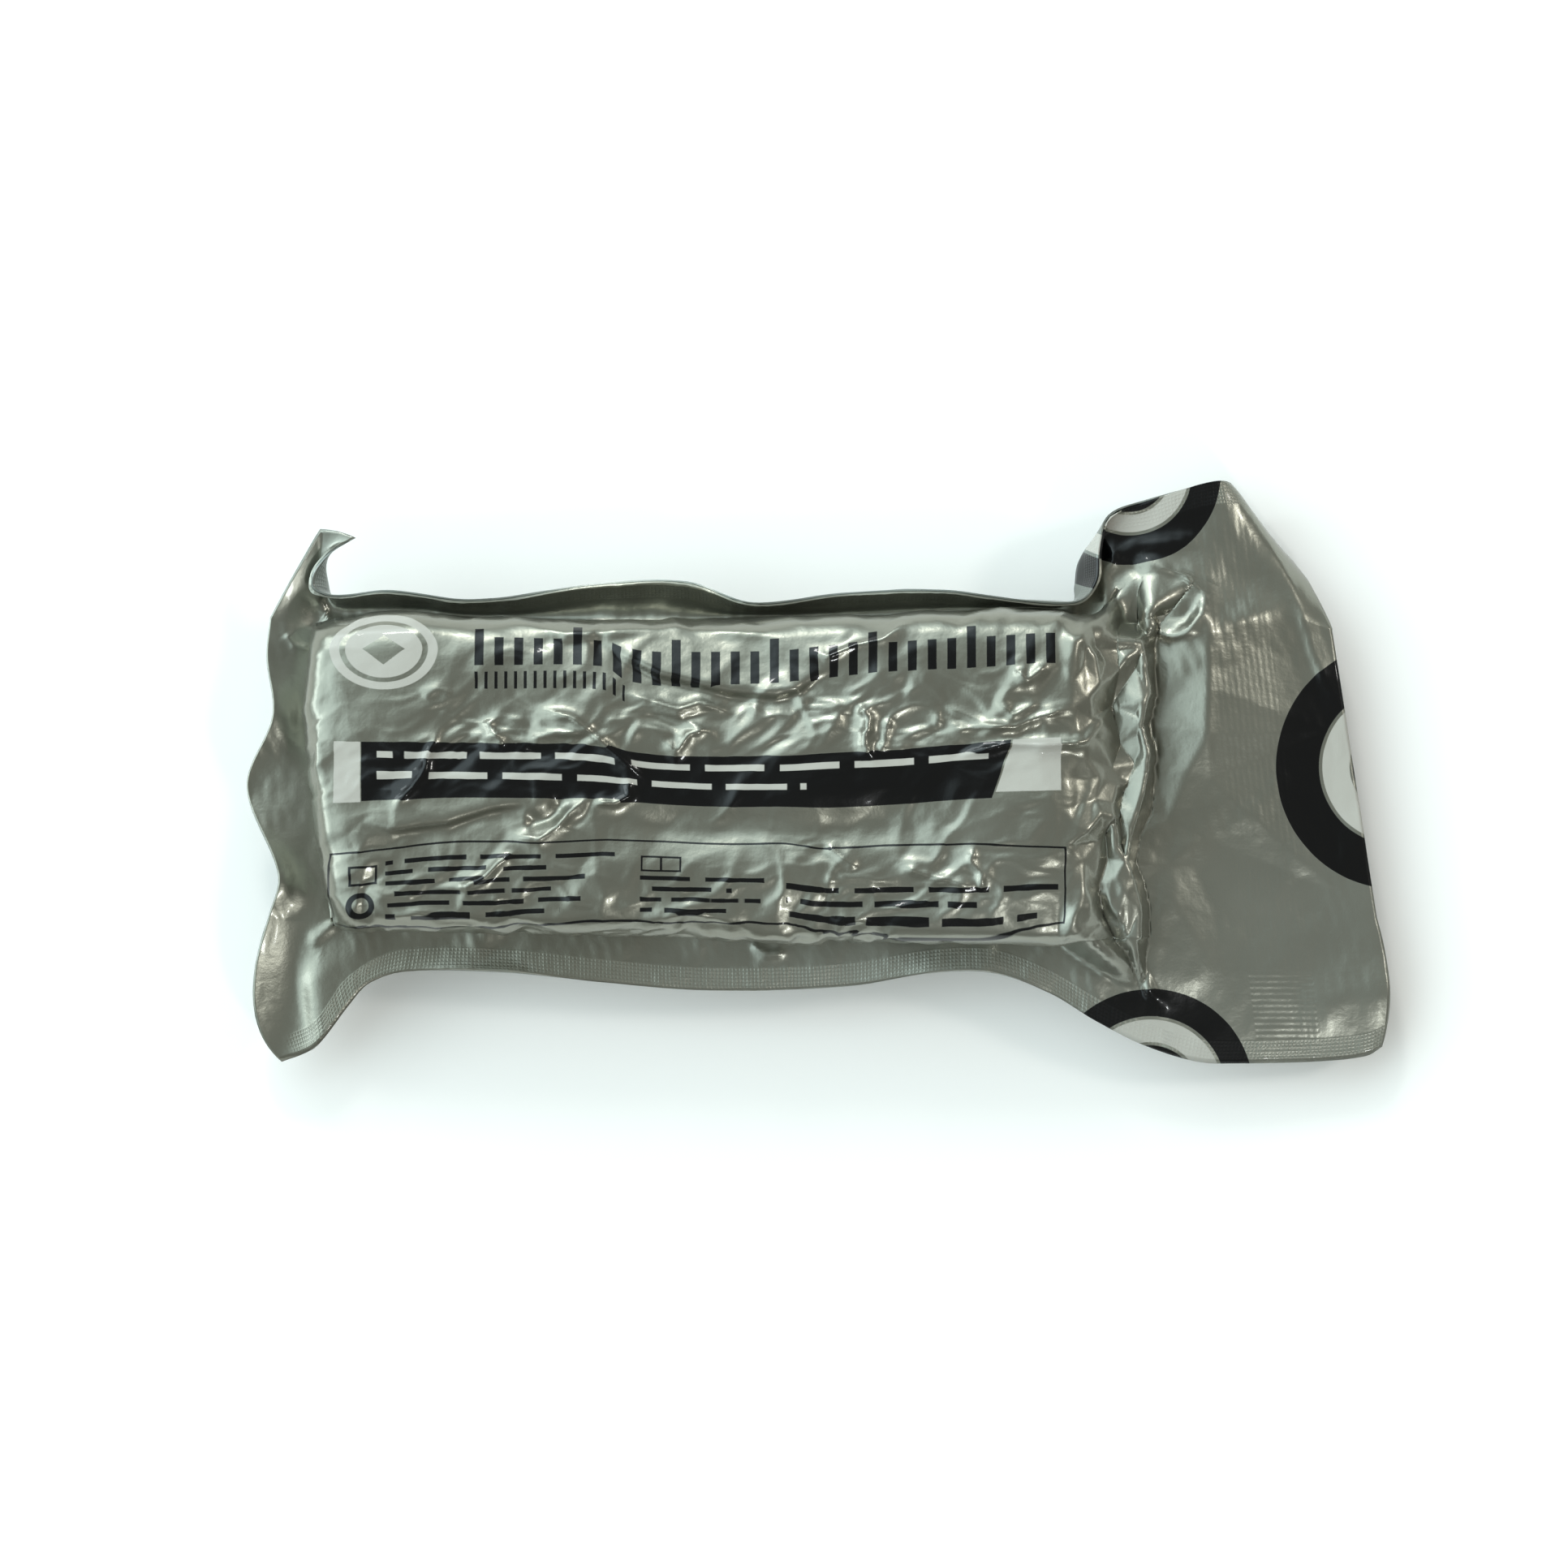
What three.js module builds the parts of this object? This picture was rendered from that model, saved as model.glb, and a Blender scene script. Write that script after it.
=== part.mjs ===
// An emergency bandage vacuum packed in its foil pouch, lying on its back, in millimetres.
// +X runs from the closed end to the open mouth, +Y is the far side, +Z is up from the floor.
// Two laminate films are sealed round a folded bandage. Each film is one sheet: flat flanges at the
// sides, walls pulled in round the bandage, a flat header with the vacuum seal, and a loose mouth.
import * as THREE from "three";

const pouchLength = 222; // closed end to mouth, as it lies
const pouchWidth = 113.5; // corner to corner across the header
const packHeight = 31; // floor to the top of the front film
const seamHeight = 14; // floor to the seam where the two films meet round the bandage
const filmThickness = 0.7; // one laminate sheet
const sealGap = 0.3; // between the two sheets where they are sealed
const mouthGap = 1.6; // between the two sheets at the open mouth
const bandageClearance = 0.35; // between the film and the folded bandage

// The long lines that the film runs through, each from the closed end (at 0) to the mouth (at 1).
// x and y are shares of pouchLength and pouchWidth from the closed end and the near side.
// z is a share of seamHeight, so that 1 is level with the seam.
const nearEdge = [
  { at: 0, x: 0.024, y: 0.003, z: 0.62 },
  { at: 0.03, x: 0.047, y: 0.019, z: 0.74 },
  { at: 0.055, x: 0.061, y: 0.041, z: 0.84 },
  { at: 0.08, x: 0.084, y: 0.1, z: 0.92 },
  { at: 0.105, x: 0.102, y: 0.138, z: 0.96 },
  { at: 0.14, x: 0.134, y: 0.158, z: 0.98 },
  { at: 0.22, x: 0.22, y: 0.159, z: 1.06 },
  { at: 0.3, x: 0.3, y: 0.142, z: 0.96 },
  { at: 0.4, x: 0.4, y: 0.125, z: 0.88 },
  { at: 0.52, x: 0.52, y: 0.133, z: 0.92 },
  { at: 0.6, x: 0.6, y: 0.158, z: 1.06 },
  { at: 0.65, x: 0.65, y: 0.157, z: 1.04 },
  { at: 0.7, x: 0.7, y: 0.12, z: 0.94 },
  { at: 0.74, x: 0.74, y: 0.071, z: 0.88 },
  { at: 0.78, x: 0.78, y: 0.031, z: 0.82 },
  { at: 0.83, x: 0.829, y: 0.002, z: 0.74 },
  { at: 0.87, x: 0.868, y: 0, z: 0.7 },
  { at: 0.94, x: 0.938, y: 0.003, z: 0.62 },
  { at: 0.98, x: 0.978, y: 0.012, z: 0.56 },
  { at: 1, x: 0.992, y: 0.028, z: 0.54 },
];
const nearTuck = [
  { at: 0, x: 0, y: 0.1, z: 0.86 },
  { at: 0.03, x: 0.036, y: 0.13, z: 0.8 },
  { at: 0.055, x: 0.054, y: 0.15, z: 0.94 },
  { at: 0.08, x: 0.075, y: 0.18, z: 0.98 },
  { at: 0.14, x: 0.137, y: 0.196, z: 0.97 },
  { at: 0.3, x: 0.3, y: 0.184, z: 0.98 },
  { at: 0.4, x: 0.4, y: 0.176, z: 0.94 },
  { at: 0.6, x: 0.6, y: 0.19, z: 1.02 },
  { at: 0.7, x: 0.7, y: 0.168, z: 0.98 },
  { at: 0.78, x: 0.785, y: 0.12, z: 0.92 },
  { at: 0.87, x: 0.876, y: 0.1, z: 0.8 },
  { at: 1, x: 0.998, y: 0.13, z: 0.62 },
];
const nearFoot = [
  { at: 0, x: 0.014, y: 0.25, z: 1.1 },
  { at: 0.03, x: 0.035, y: 0.244, z: 1.02 },
  { at: 0.056, x: 0.057, y: 0.246, z: 1 },
  { at: 0.08, x: 0.08, y: 0.242, z: 1 },
  { at: 0.3, x: 0.3, y: 0.238, z: 1 },
  { at: 0.5, x: 0.5, y: 0.234, z: 1 },
  { at: 0.66, x: 0.66, y: 0.235, z: 1 },
  { at: 0.73, x: 0.732, y: 0.226, z: 1 },
  { at: 0.79, x: 0.789, y: 0.216, z: 0.98 },
  { at: 0.87, x: 0.877, y: 0.21, z: 0.84 },
  { at: 1, x: 0.987, y: 0.249, z: 0.66 },
];
const farFoot = [
  { at: 0, x: 0.016, y: 0.764, z: 1.16 },
  { at: 0.03, x: 0.037, y: 0.752, z: 1.1 },
  { at: 0.056, x: 0.057, y: 0.742, z: 1.02 },
  { at: 0.08, x: 0.08, y: 0.752, z: 1 },
  { at: 0.14, x: 0.14, y: 0.758, z: 1 },
  { at: 0.22, x: 0.22, y: 0.75, z: 1 },
  { at: 0.5, x: 0.5, y: 0.752, z: 1 },
  { at: 0.66, x: 0.66, y: 0.764, z: 1 },
  { at: 0.7, x: 0.7, y: 0.762, z: 1 },
  { at: 0.73, x: 0.732, y: 0.756, z: 1 },
  { at: 0.755, x: 0.75, y: 0.776, z: 1.02 },
  { at: 0.78, x: 0.76, y: 0.812, z: 1.04 },
  { at: 0.81, x: 0.779, y: 0.838, z: 1.02 },
  { at: 0.84, x: 0.8, y: 0.85, z: 0.98 },
  { at: 0.88, x: 0.832, y: 0.83, z: 0.94 },
  { at: 0.93, x: 0.88, y: 0.79, z: 0.88 },
  { at: 1, x: 0.947, y: 0.745, z: 0.76 },
];
const farTuck = [
  { at: 0, x: 0.061, y: 0.914, z: 1.44 },
  { at: 0.022, x: 0.061, y: 0.856, z: 1.18 },
  { at: 0.04, x: 0.065, y: 0.824, z: 1.02 },
  { at: 0.06, x: 0.07, y: 0.798, z: 0.98 },
  { at: 0.08, x: 0.08, y: 0.788, z: 0.98 },
  { at: 0.14, x: 0.138, y: 0.79, z: 0.98 },
  { at: 0.2, x: 0.198, y: 0.778, z: 0.98 },
  { at: 0.34, x: 0.34, y: 0.789, z: 0.98 },
  { at: 0.44, x: 0.44, y: 0.778, z: 0.98 },
  { at: 0.6, x: 0.6, y: 0.79, z: 0.98 },
  { at: 0.68, x: 0.679, y: 0.79, z: 0.96 },
  { at: 0.72, x: 0.719, y: 0.791, z: 0.94 },
  { at: 0.745, x: 0.724, y: 0.818, z: 0.92 },
  { at: 0.77, x: 0.73, y: 0.864, z: 0.94 },
  { at: 0.8, x: 0.749, y: 0.904, z: 1 },
  { at: 0.84, x: 0.788, y: 0.935, z: 0.98 },
  { at: 0.9, x: 0.84, y: 0.945, z: 0.94 },
  { at: 0.95, x: 0.884, y: 0.9, z: 0.8 },
  { at: 1, x: 0.921, y: 0.838, z: 0.42 },
];
const farEdge = [
  { at: 0, x: 0.092, y: 0.898, z: 1.5 },
  { at: 0.022, x: 0.07, y: 0.876, z: 1.46 },
  { at: 0.04, x: 0.056, y: 0.842, z: 1.42 },
  { at: 0.06, x: 0.056, y: 0.812, z: 1.38 },
  { at: 0.08, x: 0.075, y: 0.797, z: 1.38 },
  { at: 0.13, x: 0.121, y: 0.805, z: 1.42 },
  { at: 0.2, x: 0.197, y: 0.789, z: 1.46 },
  { at: 0.3, x: 0.299, y: 0.816, z: 1.34 },
  { at: 0.38, x: 0.38, y: 0.821, z: 1.34 },
  { at: 0.44, x: 0.438, y: 0.784, z: 1.48 },
  { at: 0.52, x: 0.519, y: 0.801, z: 1.42 },
  { at: 0.6, x: 0.602, y: 0.806, z: 1.4 },
  { at: 0.68, x: 0.682, y: 0.788, z: 1.42 },
  { at: 0.72, x: 0.725, y: 0.789, z: 1.42 },
  { at: 0.745, x: 0.741, y: 0.824, z: 1.42 },
  { at: 0.77, x: 0.743, y: 0.88, z: 1.36 },
  { at: 0.8, x: 0.753, y: 0.934, z: 1.2 },
  { at: 0.84, x: 0.788, y: 0.962, z: 1.02 },
  { at: 0.88, x: 0.824, y: 0.988, z: 0.96 },
  { at: 0.92, x: 0.85, y: 0.998, z: 0.9 },
  { at: 0.96, x: 0.862, y: 0.978, z: 0.62 },
  { at: 1, x: 0.878, y: 0.934, z: 0.14 },
];

// How far the bandage lifts the front film and lowers the back film at each section, and how many
// sections there are up to the next row.
const stations = [
  { at: 0, front: 0, back: 0, split: 2 },
  { at: 0.034, front: 0, back: 0, split: 2 },
  { at: 0.056, front: 0, back: 0, split: 1 },
  { at: 0.0585, front: 0.42, back: 0.45, split: 1 },
  { at: 0.063, front: 0.68, back: 0.74, split: 1 },
  { at: 0.072, front: 0.84, back: 0.92, split: 1 },
  { at: 0.086, front: 0.91, back: 0.985, split: 1 },
  { at: 0.107, front: 0.95, back: 1, split: 1 },
  { at: 0.135, front: 0.975, back: 1, split: 10 },
  { at: 0.45, front: 1, back: 1, split: 7 },
  { at: 0.68, front: 0.985, back: 1, split: 1 },
  { at: 0.706, front: 0.95, back: 0.99, split: 1 },
  { at: 0.724, front: 0.9, back: 0.96, split: 1 },
  { at: 0.738, front: 0.78, back: 0.86, split: 1 },
  { at: 0.75, front: 0.6, back: 0.66, split: 1 },
  { at: 0.762, front: 0.38, back: 0.4, split: 1 },
  { at: 0.774, front: 0.16, back: 0.16, split: 1 },
  { at: 0.788, front: 0.04, back: 0.04, split: 1 },
  { at: 0.804, front: 0, back: 0, split: 3 },
  { at: 0.88, front: 0, back: 0, split: 4 },
  { at: 1, front: 0, back: 0, split: 0 },
];

// Half a cross-section, from the foot of the wall to the middle of the bandage. flat is the place of
// a point where the film lies flat and full its place round the bandage, both as shares of the
// distance between the feet. front and back are the heights, as shares of the rise and the sink.
const halfSection = [
  { flat: 0, full: 0, front: 0, back: 0 },
  { flat: 0.016, full: -0.012, front: 0.3, back: 0.42 },
  { flat: 0.034, full: -0.008, front: 0.58, back: 0.74 },
  { flat: 0.056, full: 0.014, front: 0.8, back: 0.92 },
  { flat: 0.09, full: 0.052, front: 0.905, back: 0.985 },
  { flat: 0.145, full: 0.115, front: 0.955, back: 1 },
  { flat: 0.215, full: 0.195, front: 0.985, back: 1 },
  { flat: 0.305, full: 0.295, front: 0.995, back: 1 },
  { flat: 0.4, full: 0.395, front: 1, back: 1 },
  { flat: 0.5, full: 0.5, front: 1, back: 1 },
];
const nearShares = [0, 0.14, 0.4, 0.7];
const farShares = [0.25, 0.5, 0.75, 1];

// The closed end waves in and out between the feet: out is a share of pouchLength towards the body,
// up a share of seamHeight.
const endWave = [
  { across: 0, out: 0, up: 0 },
  { across: 0.145, out: 0.009, up: 0.12 },
  { across: 0.44, out: -0.02, up: -0.12 },
  { across: 0.675, out: 0.003, up: 0.1 },
  { across: 0.87, out: -0.003, up: -0.02 },
  { across: 1, out: 0, up: 0 },
];

// Main dents and pillows of the front film: x and y are shares of the pouch, along and over the half
// lengths as shares of pouchLength, turn the angle of the long way in degrees, lift a share of
// packHeight.
const dents = [
  { x: 0.43, y: 0.6, along: 0.17, over: 0.016, turn: -3, lift: -0.06 },
  { x: 0.62, y: 0.64, along: 0.09, over: 0.018, turn: 2, lift: -0.05 },
  { x: 0.3, y: 0.67, along: 0.06, over: 0.02, turn: 20, lift: -0.04 },
  { x: 0.45, y: 0.38, along: 0.2, over: 0.018, turn: 0, lift: -0.055 },
  { x: 0.2, y: 0.44, along: 0.05, over: 0.018, turn: 35, lift: 0.03 },
  { x: 0.57, y: 0.29, along: 0.12, over: 0.014, turn: 2, lift: -0.04 },
  { x: 0.24, y: 0.31, along: 0.08, over: 0.014, turn: -8, lift: -0.035 },
  { x: 0.745, y: 0.45, along: 0.07, over: 0.011, turn: 84, lift: -0.11 },
  { x: 0.715, y: 0.5, along: 0.06, over: 0.012, turn: 90, lift: 0.05 },
  { x: 0.762, y: 0.6, along: 0.03, over: 0.012, turn: 70, lift: 0.08 },
  { x: 0.772, y: 0.35, along: 0.05, over: 0.01, turn: 95, lift: 0.08 },
  { x: 0.81, y: 0.79, along: 0.028, over: 0.02, turn: 30, lift: 0.12 },
  { x: 0.812, y: 0.56, along: 0.07, over: 0.02, turn: 84, lift: 0.06 },
  { x: 0.795, y: 0.17, along: 0.05, over: 0.012, turn: 60, lift: 0.05 },
];

const lerp = (a, b, t) => a + (b - a) * t;
const smooth = (t) => {
  const s = Math.min(1, Math.max(0, t));
  return s * s * (3 - 2 * s);
};

// The value of a column at a place along a table, through its rows with an even slope at each row.
function column(table, key, place, name = "at") {
  let k = 0;
  while (k < table.length - 2 && place > table[k + 1][name]) k += 1;
  const slope = (i) => {
    const a = table[Math.max(0, i - 1)];
    const b = table[Math.min(table.length - 1, i + 1)];
    return (b[key] - a[key]) / (b[name] - a[name]);
  };
  const span = table[k + 1][name] - table[k][name];
  const t = (place - table[k][name]) / span;
  const h = t * t * (3 - 2 * t);
  const rise = slope(k) * span * t * (1 - t) * (1 - t);
  const fall = slope(k + 1) * span * t * t * (1 - t);
  return lerp(table[k][key], table[k + 1][key], h) + rise - fall;
}

const linePoint = (table, at) =>
  new THREE.Vector3(column(table, "x", at), column(table, "y", at), column(table, "z", at));

// A curve through three points, at a share of the way from the first to the last.
function through(a, b, c, t) {
  const p = a.clone().multiplyScalar((1 - t) * (1 - 2 * t));
  p.addScaledVector(b, 4 * t * (1 - t));
  return p.addScaledVector(c, t * (2 * t - 1));
}

// The sections along the pouch: their places, and the share of the bandage's height at each.
function sectionPlaces() {
  const places = [];
  stations.forEach((row, k) => {
    const next = stations[k + 1];
    for (let i = 0; i < Math.max(1, row.split); i += 1) {
      const t = i / Math.max(1, row.split);
      places.push({
        at: next ? lerp(row.at, next.at, t) : row.at,
        front: next ? lerp(row.front, next.front, t) : row.front,
        back: next ? lerp(row.back, next.back, t) : row.back,
      });
    }
  });
  return places;
}

// A whole cross-section from half of it: shares from foot to foot.
const wholeSection = [
  ...halfSection,
  ...halfSection
    .slice(0, -1)
    .reverse()
    .map((row) => ({ flat: 1 - row.flat, full: 1 - row.full, front: row.front, back: row.back })),
];

// How much the named dents lift the front film at a place in the pouch.
function dentLift(x, y) {
  let lift = 0;
  for (const dent of dents) {
    const angle = THREE.MathUtils.degToRad(dent.turn);
    const dx = x - dent.x;
    const dy = ((y - dent.y) * pouchWidth) / pouchLength;
    const a = (dx * Math.cos(angle) + dy * Math.sin(angle)) / dent.along;
    const b = (dy * Math.cos(angle) - dx * Math.sin(angle)) / dent.over;
    lift += dent.lift * Math.exp(-a * a - b * b);
  }
  return lift * packHeight;
}

// The middle sheet of one film, before its thickness: side is 1 for the front film, -1 for the back.
function filmGrid(side) {
  const rise = side > 0 ? packHeight - seamHeight : seamHeight;
  const reach = rise - filmThickness - sealGap / 2;
  const key = side > 0 ? "front" : "back";
  return sectionPlaces().map((section) => {
    const at = section.at;
    const lift = section[key];
    const lines = [nearEdge, nearTuck, nearFoot, farFoot, farTuck, farEdge].map((t) => linePoint(t, at));
    const [edge0, tuck0, foot0, foot1, tuck1, edge1] = lines;
    const endShare = 1 - smooth(at / 0.05);
    const row = nearShares.map((t) => through(edge0, tuck0, foot0, t));
    for (const place of wholeSection) {
      const share = lerp(place.flat, place.full, smooth(lift * 1.6));
      const p = foot0.clone().lerp(foot1, share);
      p.x += endShare * column(endWave, "out", place.flat, "across");
      p.z += endShare * column(endWave, "up", place.flat, "across");
      p.raise = side * reach * lift * place[key];
      if (side > 0) {
        const dent = dentLift(p.x, p.y);
        const onBody = Math.min(1, Math.max(0, 1.6 * lift * place.front - 0.3));
        const onHeader = smooth((at - 0.75) / 0.03) * (1 - smooth((at - 0.86) / 0.03));
        p.raise += dent > 0 ? dent * Math.max(onBody, onHeader) : dent * onBody;
      }
      row.push(p);
    }
    for (const t of farShares) row.push(through(foot1, tuck1, edge1, t));
    const opening = (mouthGap / 2) * smooth((at - 0.93) / 0.07);
    return row.map((p) => {
      const z = p.z * seamHeight + (p.raise ?? 0) + side * opening;
      return new THREE.Vector3((p.x - 0.5) * pouchLength, (p.y - 0.5) * pouchWidth, z);
    });
  });
}

// Unit normals of a grid, each the mean of the faces round its point.
function gridNormals(grid) {
  const normals = grid.map((row) => row.map(() => new THREE.Vector3()));
  for (let i = 0; i + 1 < grid.length; i += 1) {
    for (let j = 0; j + 1 < grid[i].length; j += 1) {
      const along = grid[i + 1][j + 1].clone().sub(grid[i][j]);
      const over = grid[i][j + 1].clone().sub(grid[i + 1][j]);
      const n = along.cross(over).normalize();
      for (const [a, b] of [[i, j], [i + 1, j], [i, j + 1], [i + 1, j + 1]]) normals[a][b].add(n);
    }
  }
  return normals.map((row) => row.map((n) => n.normalize()));
}

const offsetGrid = (grid, normals, distance) =>
  grid.map((row, i) => row.map((p, j) => p.clone().addScaledVector(normals[i][j], distance)));

// A closed body between two grids of the same shape, the upper one facing up.
function bodyBetween(upper, lower) {
  const rows = upper.length;
  const columns = upper[0].length;
  const points = [...upper.flat(), ...lower.flat()];
  const top = (i, j) => i * columns + j;
  const under = (i, j) => rows * columns + i * columns + j;
  const faces = [];
  const quad = (a, b, c, d) => faces.push(a, b, c, a, c, d);
  for (let i = 0; i + 1 < rows; i += 1) {
    for (let j = 0; j + 1 < columns; j += 1) {
      quad(top(i, j), top(i + 1, j), top(i + 1, j + 1), top(i, j + 1));
      quad(under(i, j), under(i, j + 1), under(i + 1, j + 1), under(i + 1, j));
    }
  }
  for (let i = 0; i + 1 < rows; i += 1) {
    quad(top(i, 0), under(i, 0), under(i + 1, 0), top(i + 1, 0));
    quad(top(i, columns - 1), top(i + 1, columns - 1), under(i + 1, columns - 1), under(i, columns - 1));
  }
  for (let j = 0; j + 1 < columns; j += 1) {
    quad(top(0, j), top(0, j + 1), under(0, j + 1), under(0, j));
    quad(top(rows - 1, j), under(rows - 1, j), under(rows - 1, j + 1), top(rows - 1, j + 1));
  }
  const geometry = new THREE.BufferGeometry().setFromPoints(points);
  geometry.setIndex(faces);
  return geometry;
}

const frontGrid = filmGrid(1);
const backGrid = filmGrid(-1);
const frontNormals = gridNormals(frontGrid);
const backNormals = gridNormals(backGrid);
const halfGap = sealGap / 2;
const frontOuter = offsetGrid(frontGrid, frontNormals, halfGap + filmThickness);
const frontInner = offsetGrid(frontGrid, frontNormals, halfGap);
const backInner = offsetGrid(backGrid, backNormals, -halfGap);
const backOuter = offsetGrid(backGrid, backNormals, -halfGap - filmThickness);

// The folded bandage fills the hollow between the films, from shoulder to shoulder.
const places = sectionPlaces();
const packRows = places.map((s, i) => (s.front > 0.6 ? i : -1)).filter((i) => i >= 0);
const firstColumn = nearShares.length + 3;
const lastColumn = nearShares.length + wholeSection.length - 4;
const packPart = (grid, normals, distance) =>
  packRows.map((i) =>
    grid[i].slice(firstColumn, lastColumn + 1).map((p, j) => {
      return p.clone().addScaledVector(normals[i][firstColumn + j], distance);
    }),
  );
const packUpper = packPart(frontInner, frontNormals, -bandageClearance);
const packLower = packPart(backInner, backNormals, bandageClearance);

function namedMesh(name, geometry, colour, roughness, metalness) {
  const material = new THREE.MeshStandardMaterial({ color: colour, roughness, metalness });
  const mesh = new THREE.Mesh(geometry, material);
  mesh.name = name;
  return mesh;
}

const group = new THREE.Group();
group.add(
  namedMesh("front_film", bodyBetween(frontOuter, frontInner), 0x8c9187, 0.28, 0.35),
  namedMesh("back_film", bodyBetween(backInner, backOuter), 0x7f857b, 0.32, 0.35),
  namedMesh("bandage_pack", bodyBetween(packUpper, packLower), 0xe4e2da, 0.9, 0),
);

// The origin is under the middle of the pouch, on the floor.
const box = new THREE.Box3().setFromObject(group);
const middle = box.getCenter(new THREE.Vector3());
for (const mesh of group.children) mesh.geometry.translate(-middle.x, -middle.y, -box.min.z);

export default group;
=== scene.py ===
import math

import bpy
import numpy as np
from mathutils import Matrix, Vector
from mathutils.geometry import delaunay_2d_cdt


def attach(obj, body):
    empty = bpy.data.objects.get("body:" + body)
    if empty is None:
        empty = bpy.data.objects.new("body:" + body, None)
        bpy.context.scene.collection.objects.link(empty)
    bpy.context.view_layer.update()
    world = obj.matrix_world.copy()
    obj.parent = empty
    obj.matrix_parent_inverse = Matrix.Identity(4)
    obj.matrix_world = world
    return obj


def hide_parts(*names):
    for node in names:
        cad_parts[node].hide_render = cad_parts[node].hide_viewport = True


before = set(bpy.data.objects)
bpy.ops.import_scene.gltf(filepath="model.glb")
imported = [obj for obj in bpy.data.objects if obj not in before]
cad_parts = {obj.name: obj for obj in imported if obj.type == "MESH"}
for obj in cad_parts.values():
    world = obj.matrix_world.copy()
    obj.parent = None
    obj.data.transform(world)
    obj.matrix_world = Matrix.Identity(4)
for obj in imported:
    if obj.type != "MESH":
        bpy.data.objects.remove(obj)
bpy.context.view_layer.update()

# sizes in millimetres, as the solids have them; meshes are scaled to metres at the end
pouch = {
    "length": 222.0, "flatLength": 240.0, "width": 113.5, "height": 31.0, "seam": 14.0,
    "film": 0.3,        # visible thickness of one laminate sheet
    "gap": 0.14,        # between the sheets where they are sealed
    "mouth": 1.6,       # between the sheets at the open mouth
    "shift": (0.622, 0.165, 0.024),  # puts the middle of the pack over the origin, its underside at zero
}
picture = {"pixels": 1932, "perPixel": 0.158, "middle": (1014.0, 951.5)}
milli = 0.001

# The long lines of the pouch, from the closed end to the mouth: x and y are shares of its length and
# width, z a share of the seam's height.
nearEdge = {
    "at": [0, 0.03, 0.055, 0.08, 0.105, 0.14, 0.22, 0.3, 0.4, 0.52, 0.6, 0.65, 0.7, 0.74, 0.78, 0.83, 0.87,
           0.94, 0.98, 1],
    "x": [0.024, 0.047, 0.061, 0.084, 0.102, 0.134, 0.22, 0.3, 0.4, 0.52, 0.6, 0.65, 0.7, 0.74, 0.78, 0.829,
          0.868, 0.938, 0.978, 0.992],
    "y": [0.003, 0.019, 0.041, 0.1, 0.138, 0.158, 0.158, 0.141, 0.126, 0.133, 0.157, 0.156, 0.12, 0.073,
          0.033, 0.003, 0, 0.003, 0.012, 0.028],
    "z": [0.62, 0.74, 0.84, 0.92, 0.96, 0.98, 1.06, 0.96, 0.88, 0.92, 1.06, 1.04, 0.94, 0.88, 0.82, 0.74,
          0.7, 0.62, 0.56, 0.54],
}
nearTuck = {
    "at": [0, 0.03, 0.055, 0.08, 0.14, 0.3, 0.4, 0.6, 0.7, 0.78, 0.87, 1],
    "x": [0, 0.036, 0.054, 0.075, 0.137, 0.3, 0.4, 0.6, 0.7, 0.785, 0.876, 0.998],
    "y": [0.1, 0.13, 0.15, 0.18, 0.196, 0.184, 0.176, 0.19, 0.168, 0.12, 0.1, 0.13],
    "z": [0.86, 0.8, 0.94, 0.98, 0.97, 0.98, 0.94, 1.02, 0.98, 0.92, 0.8, 0.62],
}
nearFoot = {
    "at": [0, 0.03, 0.056, 0.08, 0.3, 0.5, 0.66, 0.73, 0.79, 0.87, 1],
    "x": [0.014, 0.035, 0.056, 0.08, 0.3, 0.5, 0.66, 0.732, 0.789, 0.877, 0.987],
    "y": [0.25, 0.244, 0.243, 0.239, 0.235, 0.231, 0.232, 0.223, 0.215, 0.21, 0.249],
    "z": [1.1, 1.02, 1, 1, 1, 1, 1, 1, 0.98, 0.84, 0.66],
}
farFoot = {
    "at": [0, 0.03, 0.056, 0.08, 0.14, 0.22, 0.5, 0.66, 0.7, 0.73, 0.755, 0.78, 0.81, 0.84, 0.88, 0.93, 1],
    "x": [0.016, 0.037, 0.056, 0.08, 0.14, 0.22, 0.5, 0.66, 0.7, 0.732, 0.75, 0.76, 0.779, 0.8, 0.832, 0.88,
          0.947],
    "y": [0.764, 0.752, 0.745, 0.755, 0.761, 0.753, 0.755, 0.767, 0.765, 0.759, 0.778, 0.812, 0.838, 0.85,
          0.83, 0.79, 0.745],
    "z": [1.16, 1.1, 1.02, 1, 1, 1, 1, 1, 1, 1, 1.02, 1.04, 1.02, 0.98, 0.94, 0.88, 0.76],
}
farTuck = {
    "at": [0, 0.022, 0.04, 0.06, 0.08, 0.14, 0.2, 0.34, 0.44, 0.6, 0.68, 0.72, 0.745, 0.77, 0.8, 0.84, 0.9,
           0.95, 1],
    "x": [0.061, 0.061, 0.065, 0.07, 0.08, 0.138, 0.198, 0.34, 0.44, 0.6, 0.679, 0.719, 0.722, 0.726, 0.747,
          0.788, 0.84, 0.884, 0.921],
    "y": [0.914, 0.856, 0.824, 0.798, 0.788, 0.79, 0.778, 0.789, 0.778, 0.79, 0.79, 0.791, 0.82, 0.866,
          0.908, 0.935, 0.945, 0.9, 0.838],
    "z": [1.44, 1.18, 1.02, 0.98, 0.98, 0.98, 0.98, 0.98, 0.98, 0.98, 0.96, 0.94, 0.92, 0.94, 1, 0.98, 0.94,
          0.8, 0.42],
}
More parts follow.
